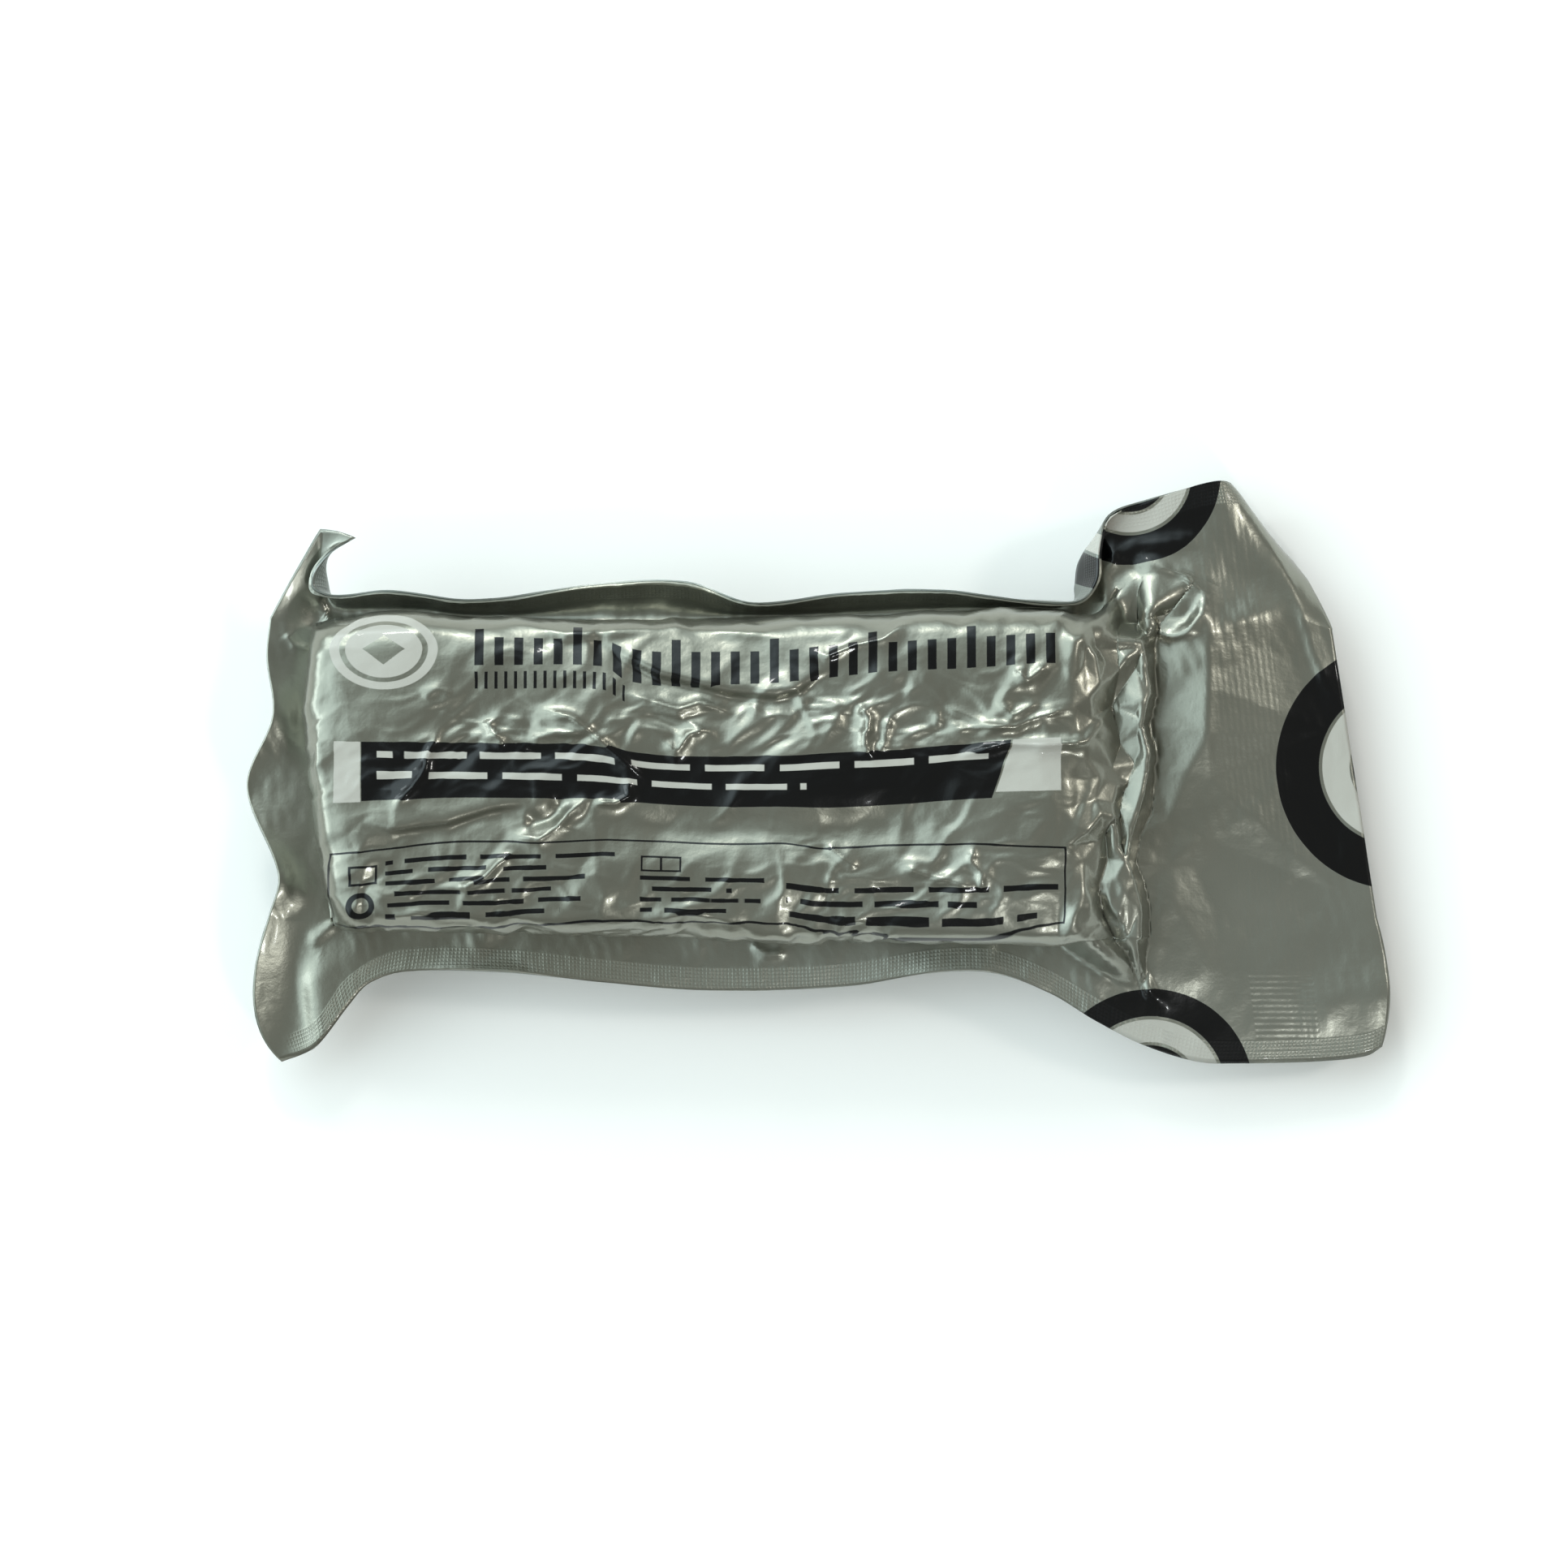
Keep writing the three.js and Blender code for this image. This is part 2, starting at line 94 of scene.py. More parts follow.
farEdge = {
    "at": [0, 0.022, 0.04, 0.06, 0.08, 0.13, 0.2, 0.3, 0.38, 0.44, 0.52, 0.6, 0.68, 0.72, 0.745, 0.77, 0.8,
           0.84, 0.88, 0.92, 0.96, 1],
    "x": [0.092, 0.07, 0.055, 0.055, 0.074, 0.121, 0.197, 0.299, 0.38, 0.438, 0.519, 0.602, 0.682, 0.724,
          0.74, 0.742, 0.751, 0.786, 0.824, 0.85, 0.864, 0.88],
    "y": [0.9, 0.878, 0.844, 0.814, 0.8, 0.808, 0.792, 0.819, 0.824, 0.787, 0.804, 0.809, 0.79, 0.791, 0.827,
          0.882, 0.938, 0.966, 0.99, 1, 0.98, 0.936],
    "z": [1.5, 1.46, 1.42, 1.38, 1.38, 1.42, 1.46, 1.34, 1.34, 1.48, 1.42, 1.4, 1.42, 1.42, 1.42, 1.36, 1.2,
          1.02, 0.96, 0.9, 0.62, 0.14],
}
# how far the bandage lifts the front film and lowers the back film along the pouch
bulk = {
    "at": [0, 0.034, 0.056, 0.0585, 0.063, 0.072, 0.086, 0.107, 0.135, 0.45, 0.68, 0.706, 0.724, 0.738, 0.75,
           0.762, 0.774, 0.788, 0.804, 1],
    "front": [0, 0, 0, 0.48, 0.78, 0.915, 0.965, 0.985, 0.995, 1, 0.985, 0.95, 0.9, 0.78, 0.6, 0.38, 0.16,
              0.04, 0, 0],
    "back": [0, 0, 0, 0.45, 0.74, 0.92, 0.985, 1, 1, 1, 1, 0.99, 0.96, 0.86, 0.66, 0.4, 0.16, 0.04, 0, 0],
}
# half a cross-section, foot to middle: flat is a point's place where the film lies flat, full its place
# round the bandage, front and back its share of the rise and the sink
section = {
    "flat": [0, 0.016, 0.034, 0.056, 0.09, 0.145, 0.215, 0.305, 0.4, 0.5],
    "full": [0, -0.012, -0.008, 0.014, 0.052, 0.115, 0.195, 0.295, 0.395, 0.5],
    "front": [0, 0.3, 0.58, 0.8, 0.905, 0.955, 0.985, 0.995, 1, 1],
    "back": [0, 0.42, 0.74, 0.92, 0.985, 1, 1, 1, 1, 1],
}
endWave = {
    "across": [0, 0.145, 0.44, 0.675, 0.87, 1],
    "out": [0, 0.009, -0.02, 0.003, -0.003, 0],
    "up": [0, 0.12, -0.12, 0.1, -0.02, 0],
}


# a table's column at many places at once: cubic pieces through its rows; firm never overshoots a row
def column(table, key, place, name="at", firm=False):
    x, y = np.array(table[name], float), np.array(table[key], float)
    step = np.diff(y) / np.diff(x)
    slope = np.concatenate([step[:1], (y[2:] - y[:-2]) / (x[2:] - x[:-2]), step[-1:]])
    if firm:
        same = step[1:] * step[:-1] > 0
        inner = np.where(same, 2 * step[1:] * step[:-1] / np.where(same, step[1:] + step[:-1], 1), 0)
        slope = np.concatenate([step[:1] * 0, inner, step[-1:] * 0])
    k = np.clip(np.searchsorted(x, place, side="right") - 1, 0, len(x) - 2)
    span = x[k + 1] - x[k]
    t = (place - x[k]) / span
    climb = t * t * (3 - 2 * t)
    bend = slope[k] * span * t * (1 - t) ** 2 - slope[k + 1] * span * t * t * (1 - t)
    return y[k] + (y[k + 1] - y[k]) * climb + bend


# a smooth step from 0 to 1: three t squared less two t cubed
def ease(t):
    t = np.clip(t, 0, 1)
    return t * t * (3 - 2 * t)


# the smooth step of a value over a window: where it starts and how far it takes
def rising(value, window):
    return ease((value - window[0]) / window[1])


# the points of a long line: its x, y and z columns side by side
def line(table, at):
    return np.stack([column(table, key, at) for key in "xyz"], axis=-1)


# the curve through three rows of points, at shares t of the way from the first to the last; where sharp is
# 1 the rows are joined by straight lines, with a fold at the second
def through(a, b, c, t, sharp=0):
    a, b, c, t = a[:, None], b[:, None], c[:, None], t[None, :, None]
    curve = a * (1 - t) * (1 - 2 * t) + b * 4 * t * (1 - t) + c * t * (2 * t - 1)
    folded = np.where(t < 0.5, a + (b - a) * 2 * t, b + (c - b) * (2 * t - 1))
    return curve + (folded - curve) * sharp


# evenly spread values over stretches: each stretch is (end, how many steps)
def spread(start, stretches):
    values, low = [np.array([float(start)])], start
    for end, steps in stretches:
        values.append(np.linspace(low, end, steps + 1)[1:])
        low = end
    return np.concatenate(values)


# millimetres from the middle of the pouch, as pixels across and down the picture
def toPixels(x, y):
    return picture["middle"][0] + x / picture["perPixel"], picture["middle"][1] - y / picture["perPixel"]


# How far picture points are inside a zone, 0 to 1: the product of one smooth step for each side that it has.
zones = {
    "blockEnd": {"left": (1298, 26), "top": (768, 26), "bottom": (1236, 60)},
    "header": {"top": (700, 70), "bottom": (1262, 60)},
    "lean": {"top": (700, 60), "bottom": (1215, 60)},
    "gathers": {"right": (1412, 30), "bottom": (1158, 20)},
    "slopeSides": {"top": (762, 30), "bottom": (1172, 30)},
    "nearWall": {"top": (1020, 60), "left": (830, 120), "right": (1350, 40)},
    "print": {"top": (745, 20), "bottom": (1165, 25), "left": (380, 20), "right": (1400, 60)},
}


def inZone(px, py, name):
    share = 1.0
    for side, (start, reach) in zones[name].items():
        past = {"left": px - start, "right": start - px, "top": py - start, "bottom": start - py}[side]
        share = share * ease(past / reach)
    return share


# windows along the pouch, in shares of its length: where the closed end and the fin end, where the header
# starts, where its fold is over and where the mouth opens
stretch = {"closedEnd": (0, 0.05), "fin": (0.012, 0.05), "header": (0.7, 0.02), "foldOver": (0.79, 0.03),
           "mouth": (0.93, 0.07), "fold": 0.85, "roundSoon": 1.6}


# The middle sheet of one film, as rows along the pouch and columns across it: a flange curved or folded
# through its edge, tuck and foot, a straight web between the feet, and the rise over the bandage.
def filmSheet(side, places, nearShares, sectionShares, farShares):
    edge0, tuck0, foot0, foot1, tuck1, edge1 = [
        line(t, places) for t in (nearEdge, nearTuck, nearFoot, farFoot, farTuck, farEdge)]
    key = "front" if side > 0 else "back"
    lift = column(bulk, key, places, firm=True)
    half = np.minimum(sectionShares, 1 - sectionShares)
    full = column(section, "full", half, "flat")
    full = np.where(sectionShares > 0.5, 1 - full, full)
    height = column(section, key, half, "flat", firm=True)
    rounded = ease(lift * stretch["roundSoon"])[:, None]
    share = sectionShares[None] * (1 - rounded) + full[None] * rounded
    middle = foot0[:, None] + (foot1 - foot0)[:, None] * share[..., None]
    nearEnd = (1 - rising(places, stretch["closedEnd"]))[:, None]
    middle[..., 0] += nearEnd * column(endWave, "out", sectionShares, "across")[None]
    middle[..., 2] += nearEnd * column(endWave, "up", sectionShares, "across")[None]
    near = through(edge0, tuck0, foot0, nearShares)
    atHeader = rising(places, stretch["header"]) * (1 - rising(places, stretch["foldOver"]))
    folded = np.maximum(1 - rising(places, stretch["fin"]), atHeader)
    far = through(foot1, tuck1, edge1, farShares, stretch["fold"] * folded[:, None, None])
    sheet = np.concatenate([near, middle, far], axis=1)
    thick = pouch["height"] - pouch["seam"] if side > 0 else pouch["seam"]
    reach = thick - pouch["film"] - pouch["gap"] / 2
    raised = np.zeros(sheet.shape[:2])
    first = len(nearShares)
    raised[:, first:first + len(sectionShares)] = side * reach * lift[:, None] * height[None]
    points = np.empty_like(sheet)
    points[..., 0] = (sheet[..., 0] - 0.5) * pouch["length"]
    points[..., 1] = (sheet[..., 1] - 0.5) * pouch["width"]
    opening = pouch["mouth"] / 2 * rising(places, stretch["mouth"])
    points[..., 2] = sheet[..., 2] * pouch["seam"] + raised + side * opening[:, None]
    return points, np.abs(raised) / reach


# The folded end of the block and the header beside it, as runs of crests and valleys read off the picture:
# pixels across and down, and millimetres above the seam. Between the runs the film is flat facets.
endRuns = [
    [(1296, 770, 15.6), (1296, 830, 16.1), (1296, 880, 16.1), (1290, 917, 16.3), (1296, 960, 16.1),
     (1296, 1000, 16.1), (1310, 1040, 16.4), (1296, 1090, 16.0), (1298, 1137, 16.0), (1298, 1160, 15.8)],
    [(1317, 786, 16.4), (1318, 808, 16.3), (1314, 846, 15.7), (1318, 872, 15.6)],
    [(1328, 788, 16.0), (1330, 820, 14.8), (1328, 850, 15.1)],
    [(1333, 766, 14.8), (1335, 797, 14.6), (1345, 810, 14.2), (1350, 843, 13.6), (1336, 860, 14.7),
     (1340, 887, 13.6), (1352, 890, 12.9), (1341, 907, 14.3), (1327, 914, 15.6), (1290, 917, 16.3)],
    [(1341, 780, 12.6), (1345, 800, 12.0), (1358, 817, 11.2), (1375, 824, 9.3), (1397, 823, 7.6),
     (1367, 870, 7.6), (1377, 917, 7.0), (1396, 941, 7.4)],
    [(1375, 776, 10.2), (1374, 802, 9.0), (1384, 812, 9.6)],
    [(1411, 757, 5.6), (1406, 776, 7.6), (1404, 800, 8.2), (1408, 822, 9.3), (1413, 857, 9.2),
     (1403, 893, 9.6), (1412, 927, 9.6), (1410, 953, 9.0), (1405, 977, 9.6), (1398, 1000, 9.6),
     (1391, 1023, 10.0), (1384, 1060, 10.8), (1395, 1087, 10.0), (1402, 1117, 9.2), (1402, 1153, 8.4),
     (1396, 1164, 7.4), (1400, 1184, 5.6), (1412, 1220, 2.9), (1434, 1238, 1.4)],
    [(1405, 866, 9.9), (1397, 880, 8.6), (1400, 890, 9.4)],
    [(1400, 905, 8.5), (1403, 925, 8.3), (1401, 945, 8.2)],
    [(1334, 936, 14.6), (1350, 958, 12.9), (1345, 985, 13.6), (1352, 1003, 14.4)],
    [(1366, 946, 10.0), (1372, 968, 10.4), (1366, 990, 11.2)],
    [(1396, 941, 7.4), (1387, 965, 8.2), (1380, 977, 8.0), (1376, 1000, 9.0), (1378, 1040, 8.8)],
    [(1310, 1040, 16.4), (1337, 1023, 15.8), (1352, 1003, 14.4), (1368, 1007, 12.4), (1371, 1040, 11.4),
     (1384, 1060, 10.8)],
    [(1346, 1036, 12.2), (1359, 1026, 10.4), (1362, 1058, 9.6), (1350, 1092, 10.4), (1357, 1130, 7.6),
     (1372, 1158, 5.4), (1390, 1176, 3.4), (1408, 1222, 0.8), (1424, 1246, 0.2)],
    [(1330, 1060, 14.6), (1330, 1093, 15.0), (1340, 1110, 13.6), (1353, 1137, 10.4)],
    [(1374, 1078, 11.0), (1382, 1100, 10.8), (1376, 1126, 10.2), (1387, 1152, 8.2)],
    [(1298, 1137, 16.0), (1308, 1138, 15.8), (1320, 1140, 14.6), (1327, 1117, 15.4), (1337, 1117, 14.2)],
    [(1308, 1138, 15.8), (1330, 1157, 13.2), (1350, 1164, 10.4), (1356, 1156, 8.4)],
    [(1424, 770, 1.4), (1421, 800, 0.8), (1422, 857, 0.5), (1414, 893, 0.5), (1422, 927, 0.5),
     (1420, 953, 0.7), (1416, 1000, 1.2), (1402, 1030, 2.0), (1397, 1062, 2.6), (1407, 1087, 2.0),
     (1414, 1117, 1.5), (1414, 1153, 1.2), (1409, 1184, 1.0), (1424, 1216, 0.8), (1440, 1226, 0.6)],
    [(1484, 700, 1.2), (1488, 780, 4.2), (1488, 850, 4.4), (1486, 905, 4.1), (1462, 950, 2.6),
     (1440, 1010, 1.4)],
    [(1494, 700, 0.9), (1498, 780, 3.7), (1498, 850, 3.9), (1496, 905, 3.6), (1490, 960, 2.5),
     (1480, 1030, 1.2)],
    [(1440, 1066, 1.8), (1446, 1110, 1.9), (1474, 1160, 1.2), (1500, 1200, 0.4)],
    [(1470, 1066, 1.0), (1500, 1130, 0.6)],
    [(1380, 690, 0), (1440, 670, 0), (1500, 650, 0), (1590, 740, 0), (1640, 900, 0), (1650, 1100, 0),
     (1580, 1250, 0), (1470, 1262, 0)],
]


# Height over a net of triangles, with every run kept as a fold: in each triangle the height of its first
# corner, and the rise to the two others by the shares s and t of its edges.
def foldedNet(px, py, runs):
    spots, ends = {}, set()
    for run in runs:
        ids = [spots.setdefault(spot, len(spots)) for spot in run]
        ends.update(pair for pair in zip(ids[:-1], ids[1:]) if pair[0] != pair[1])
    table = np.array(list(spots), float)
    flat = [Vector((x, y)) for x, y, _ in table]
    corners, _, triangles, origin, _, _ = delaunay_2d_cdt(flat, list(ends), [], 0, 1e-4)
    heights = [table[ids[0], 2] if ids else None for ids in origin]
    if None in heights:
        raise ValueError("two runs of the folded end cross")
    found, inside = np.zeros_like(px), np.zeros(px.shape, bool)
    for i, j, k in triangles:
        (ax, ay), (bx, by), (cx, cy) = corners[i], corners[j], corners[k]
        area = (bx - ax) * (cy - ay) - (cx - ax) * (by - ay)
        s = ((px - ax) * (cy - ay) - (cx - ax) * (py - ay)) / area
        t = ((bx - ax) * (py - ay) - (px - ax) * (by - ay)) / area
        here = (s >= -1e-6) & (t >= -1e-6) & (s + t <= 1 + 1e-6)
        value = heights[i] + s * (heights[j] - heights[i]) + t * (heights[k] - heights[i])
        found, inside = np.where(here, value, found), inside | here
    return found, inside


# The folded end laid over the plain slope of the block: the net's height less the rise that the film has
# already. It fades out at the net's own near corner, and the back film follows it past the block only.
blockEnd = {"past": (1404, 12), "backFrom": (1424, 20), "backMost": 4, "corner": (1298, 1160),
            "cornerLine": (0.564, 0.826), "cornerFade": (14, 40), "fadeLess": 0.2}


def shapeEnd(points, rise, side):
    px, py = toPixels(points[..., 0], points[..., 1])
    target, inside = foldedNet(px, py, endRuns)
    past = rising(px, blockEnd["past"]) * inZone(px, py, "header")
    blend = np.maximum(inZone(px, py, "blockEnd"), past)
    cornerX, cornerY = px - blockEnd["corner"][0], py - blockEnd["corner"][1]
    fromCorner = cornerX * blockEnd["cornerLine"][0] - cornerY * blockEnd["cornerLine"][1]
    least, most = blockEnd["cornerFade"]
    blend = blend * ease(fromCorner / np.clip(most - cornerX * blockEnd["fadeLess"], least, most))
    if side > 0:
        points[..., 2] += np.where(inside, (target - rise) * blend, 0)
    else:
        lifted = np.clip(target * blend, 0, blockEnd["backMost"]) * rising(px, blockEnd["backFrom"])
        points[..., 2] += np.where(inside, lifted, 0)
    return points


# The closed end of the block isn't square: how far its edge stands from a straight line, down the picture.
# The shift is full at that edge and fades to nothing at the fin's edge and along the block.
endLean = {"y": [755, 818, 880, 929, 984, 1052, 1098, 1131, 1165], "x": [-4, -6, -12, -8, 0, 8, 16, 22, 24]}
leanReach = {"fin": 350, "edge": 398, "block": 500}


def leanEnd(points):
    px, py = toPixels(points[..., 0], points[..., 1])
    fin, edge, block = leanReach["fin"], leanReach["edge"], leanReach["block"]
    near = np.where(px < edge, ease((px - fin) / (edge - fin)), ease((block - px) / (block - edge)))
    shift = column(endLean, "x", np.clip(py, endLean["y"][0], endLean["y"][-1]), "y") * near
    points[..., 0] += shift * inZone(px, py, "lean") * picture["perPixel"]
    return points


# distance walked across the film from the near edge: the sum of the steps between neighbours of a row
def walkAcross(points):
    step = np.linalg.norm(np.diff(points, axis=1), axis=-1)
    return np.concatenate([np.zeros((len(points), 1)), np.cumsum(step, axis=1)], axis=1)


# unit normals of a grid: the cross product of its two differences at each point
def gridNormals(points):
    along, over = np.gradient(points, axis=0), np.gradient(points, axis=1)
    n = np.cross(along, over)
    return n / np.maximum(np.linalg.norm(n, axis=-1, keepdims=True), 1e-9)


# smooth waves, about -1 to 1: a sum of sines with seeded directions, phases and sizes
def waves(x, y, size, seed, count=7):
    rng = np.random.default_rng(seed)
    turn = 6.28
    total = np.zeros_like(x)
    for angle, phase, scale in zip(rng.uniform(0, math.pi, count), rng.uniform(0, turn, count),
                                   rng.uniform(0.7, 1.5, count)):
        total += np.sin((x * math.cos(angle) + y * math.sin(angle)) * turn / size * scale + phase)
    return total / math.sqrt(count * 2)


# the sum of several such waves, each as depth, size, seed
def layeredWaves(x, y, layers):
    return sum(deep * waves(x, y, size, seed) for deep, size, seed in layers)


# sharp creases, about -0.2 to 0.75: crests that fall off as an exponential of a smooth wave's size, so they
# stand along the lines where it changes sign
def creases(x, y, size, seed):
    n = np.abs(waves(x, y, size, seed, 6))
    return np.exp(-n * 3.2) - 0.25


# flat facets, -1 to 1: seeded heights at the corners of a slanted net, joined by flat triangles
def facets(x, y, cell, seed):
    heights = np.random.default_rng(seed).uniform(-1, 1, (64, 64))
    u, v = (x + 0.45 * y) / cell[0], (y - 0.32 * x) / cell[1]
    iu, iv = np.floor(u).astype(int), np.floor(v).astype(int)
    fu, fv = u - iu, v - iv
    a, b = heights[iu % 64, iv % 64], heights[(iu + 1) % 64, (iv + 1) % 64]
    c = np.where(fu > fv, heights[(iu + 1) % 64, iv % 64], heights[iu % 64, (iv + 1) % 64])
    high, low = np.maximum(fu, fv), np.minimum(fu, fv)
    return a * (1 - high) + c * (high - low) + b * low


# film drawn into hollows: the soft least of the squared distances to scattered centres, which gives a bowl
# round each centre and a crisp crest where bowls meet
def hollows(x, y, cell, seed, crisp=16.0):
    rng = np.random.default_rng(seed)
    spots = rng.uniform(0.08, 0.92, (64, 64, 2))
    depth = rng.uniform(0.55, 1.25, (64, 64))
    u, v = x / cell[0], y / cell[1]
    iu, iv = np.floor(u).astype(int), np.floor(v).astype(int)
    total = np.zeros_like(u)
    for du in (-1, 0, 1):
        for dv in (-1, 0, 1):
            a, b = (iu + du) % 64, (iv + dv) % 64
            dx, dy = u - iu - du - spots[a, b, 0], v - iv - dv - spots[a, b, 1]
            total += np.exp(-crisp * (dx * dx + dy * dy) * depth[a, b])
    return -np.log(total + 1e-12) / crisp


# distance from a stroke of picture points, the share of its length, and the side it is on
def stroke(px, py, points):
    best = np.full(px.shape, 1e9)
    share, side = np.zeros(px.shape), np.zeros(px.shape)
    points = np.array(points, float)
    lengths = np.linalg.norm(np.diff(points, axis=0), axis=1)
    walked = 0.0
    for (ax, ay), (bx, by), size in zip(points[:-1], points[1:], lengths):
        t = np.clip(((px - ax) * (bx - ax) + (py - ay) * (by - ay)) / size ** 2, 0, 1)
        dx, dy = px - ax - t * (bx - ax), py - ay - t * (by - ay)
        d = np.hypot(dx, dy)
        nearer = d < best
        best = np.where(nearer, d, best)
        share = np.where(nearer, (walked + t * size) / lengths.sum(), share)
        side = np.where(nearer, np.sign((bx - ax) * dy - (by - ay) * dx), side)
        walked += size
    return best, share, side


# Folds of the front film, as strokes over the picture: their kind, width in pixels, depth in millimetres and
# run of points. The kinds are crest, trough, pillow, or step, which is high on its left.
folds = [
    ("crest", 9, 0.9, [(672, 876), (707, 885), (733, 905), (767, 935), (792, 958)]),
    ("crest", 10, 0.7, [(776, 858), (813, 868), (837, 875), (863, 867), (905, 880)]),
    ("step", 12, 0.9, [(740, 786), (770, 812), (813, 835), (900, 856), (957, 861), (987, 852),
                       (1003, 838), (1033, 826)]),
    ("crest", 8, 0.7, [(1003, 806), (1020, 812), (1053, 798), (1087, 792), (1125, 765)]),
    ("crest", 10, 0.9, [(1055, 868), (1070, 885), (1063, 915), (1074, 936)]),
    ("crest", 9, 0.7, [(1095, 886), (1090, 905), (1085, 926)]),
    ("crest", 9, 0.8, [(1248, 826), (1262, 840), (1284, 822)]),
    ("crest", 8, 0.6, [(1228, 868), (1245, 882), (1275, 868)]),
    ("crest", 9, 0.7, [(1160, 903), (1213, 895), (1247, 897), (1273, 885), (1315, 874)]),
    ("crest", 8, 0.9, [(1186, 930), (1240, 917), (1290, 918), (1330, 914), (1342, 903)]),
    ("step", 15, 0.8, [(453, 1012), (487, 1024), (557, 1015), (610, 998), (662, 990)]),
    ("crest", 10, 0.8, [(728, 984), (704, 1000), (690, 1018), (668, 1033), (640, 1030)]),
    ("trough", 12, 0.8, [(700, 985), (680, 1008), (650, 1012)]),
    ("crest", 10, 0.4, [(526, 862), (543, 851), (562, 856)]),
    ("crest", 9, 0.8, [(545, 905), (532, 930), (527, 952), (514, 970), (494, 990)]),
    ("crest", 8, 0.6, [(602, 888), (616, 908), (626, 920)]),
    ("crest", 9, 0.6, [(655, 912), (690, 903), (722, 906)]),
    ("crest", 8, 0.8, [(775, 958), (778, 980), (760, 990), (735, 988)]),
    ("crest", 9, 0.7, [(820, 912), (835, 928), (850, 905), (872, 900)]),
    ("crest", 8, 0.8, [(1196, 1044), (1193, 1060), (1205, 1072), (1208, 1096)]),
    ("crest", 10, 0.7, [(1108, 1066), (1143, 1078), (1180, 1086), (1196, 1090)]),
    ("crest", 9, 0.6, [(1018, 1040), (1036, 1056), (1056, 1068)]),
    ("trough", 26, 0.9, [(760, 1016), (900, 1020), (1060, 1018), (1150, 1012)]),
    ("crest", 12, 0.6, [(400, 905), (402, 960), (400, 1040)]),
    ("step", 14, 0.7, [(620, 764), (700, 790), (760, 786), (850, 775), (960, 790)]),
    ("crest", 8, 0.8, [(636, 1050), (618, 1062), (600, 1080), (570, 1092)]),
    ("crest", 8, 0.6, [(470, 1130), (520, 1120), (575, 1126), (630, 1140)]),
    ("crest", 8, 0.6, [(800, 1128), (850, 1120), (900, 1130), (950, 1146)]),
    ("crest", 8, 0.6, [(985, 1142), (1040, 1128), (1110, 1136), (1180, 1148)]),
]
# the header's pillows and creases, and the flange's gathers
headerFolds = [
    ("pillow", 20, 0.5, [(606, 1148), (592, 1162)]),
    ("trough", 9, 0.4, [(906, 1160), (918, 1174), (912, 1186)]),
    ("crest", 7, 0.8, [(925, 1164), (945, 1176), (968, 1174)]),
    ("pillow", 26, 0.5, [(1330, 1196), (1352, 1204)]),
    ("pillow", 48, 1.5, [(1428, 718), (1452, 722)]),
    ("crest", 8, 1.0, [(1411, 762), (1425, 778), (1445, 784), (1465, 778), (1480, 760), (1485, 732)]),
    ("trough", 9, 0.9, [(1418, 754), (1440, 767), (1460, 763), (1472, 746)]),
    ("crest", 9, 0.8, [(1388, 690), (1420, 696), (1455, 710), (1482, 735)]),
    ("crest", 9, 0.8, [(1371, 664), (1372, 690), (1362, 712), (1363, 758)]),
    ("crest", 9, 0.8, [(1370, 690), (1400, 672), (1450, 668), (1478, 664)]),
    ("trough", 9, 0.9, [(1368, 716), (1392, 700), (1412, 706)]),
    ("crest", 16, 0.7, [(1560, 668), (1600, 745), (1622, 810), (1642, 862)]),
    ("pillow", 40, 0.8, [(1640, 1238), (1690, 1222)]),
    ("crest", 26, -1.3, [(392, 1162), (376, 1200), (384, 1231), (343, 1268)]),
    ("crest", 8, 0.8, [(414, 1137), (386, 1158), (396, 1174), (376, 1216), (384, 1248), (358, 1276)]),
    ("crest", 8, 0.9, [(383, 720), (396, 748), (410, 775), (398, 790)]),
    ("trough", 9, 0.8, [(370, 748), (378, 770), (388, 792)]),
    ("crest", 10, 0.6, [(352, 780), (362, 795), (380, 800)]),
    ("crest", 9, 0.5, [(412, 1136), (400, 1150), (384, 1158)]),
]


# One fold list as a height in millimetres over picture points. A crest is a sharp peak in a shallow dip, a
# trough and a pillow are bell curves, a step is a jump that levels out; all but pillows fade at their ends.
def foldHeight(px, py, table):
    height = np.zeros_like(px)
    for kind, wide, deep, run in table:
        d, share, side = stroke(px, py, run)
        fade = np.clip(np.minimum(share, 1 - share) * 5 + (0 if kind == "step" else 0.25), 0, 1)
        t = d / wide
        if kind == "crest":
            height += deep * fade * (1.25 * np.exp(-t * 1.1) - 0.25 * np.exp(-(t / 2.6) ** 2))
        elif kind == "trough":
            height -= deep * fade * np.exp(-t * t)
        elif kind == "pillow":
            height += deep * np.exp(-t * t * 1.4)
        else:
            height -= deep * fade * side * np.exp(-t * 0.55) * (1 - np.exp(-t * 3))
    return height


# where the crumple is strong: middle in pixels, reach in pixels, strength
crumples = [
    (960, 885, 150, 36, 0.9), (820, 890, 60, 30, 0.5), (1110, 880, 70, 40, 0.7), (1250, 850, 70, 50, 0.5),
    (640, 900, 120, 42, 0.7), (700, 1000, 50, 30, 0.8), (560, 1095, 110, 38, 0.7), (720, 1100, 80, 36, 0.7),
    (900, 1105, 90, 30, 0.5), (1080, 1100, 110, 36, 0.8), (1240, 1080, 80, 50, 0.7),
    (1240, 1000, 70, 30, 0.3), (900, 1150, 460, 18, 0.8), (700, 800, 90, 26, 0.4), (480, 950, 50, 40, 0.3),
    (1180, 900, 90, 30, 0.6), (450, 1080, 30, 50, 0.4), (392, 960, 18, 150, 0.5), (560, 930, 60, 40, 0.4),
    (1010, 1060, 60, 30, 0.4),
]
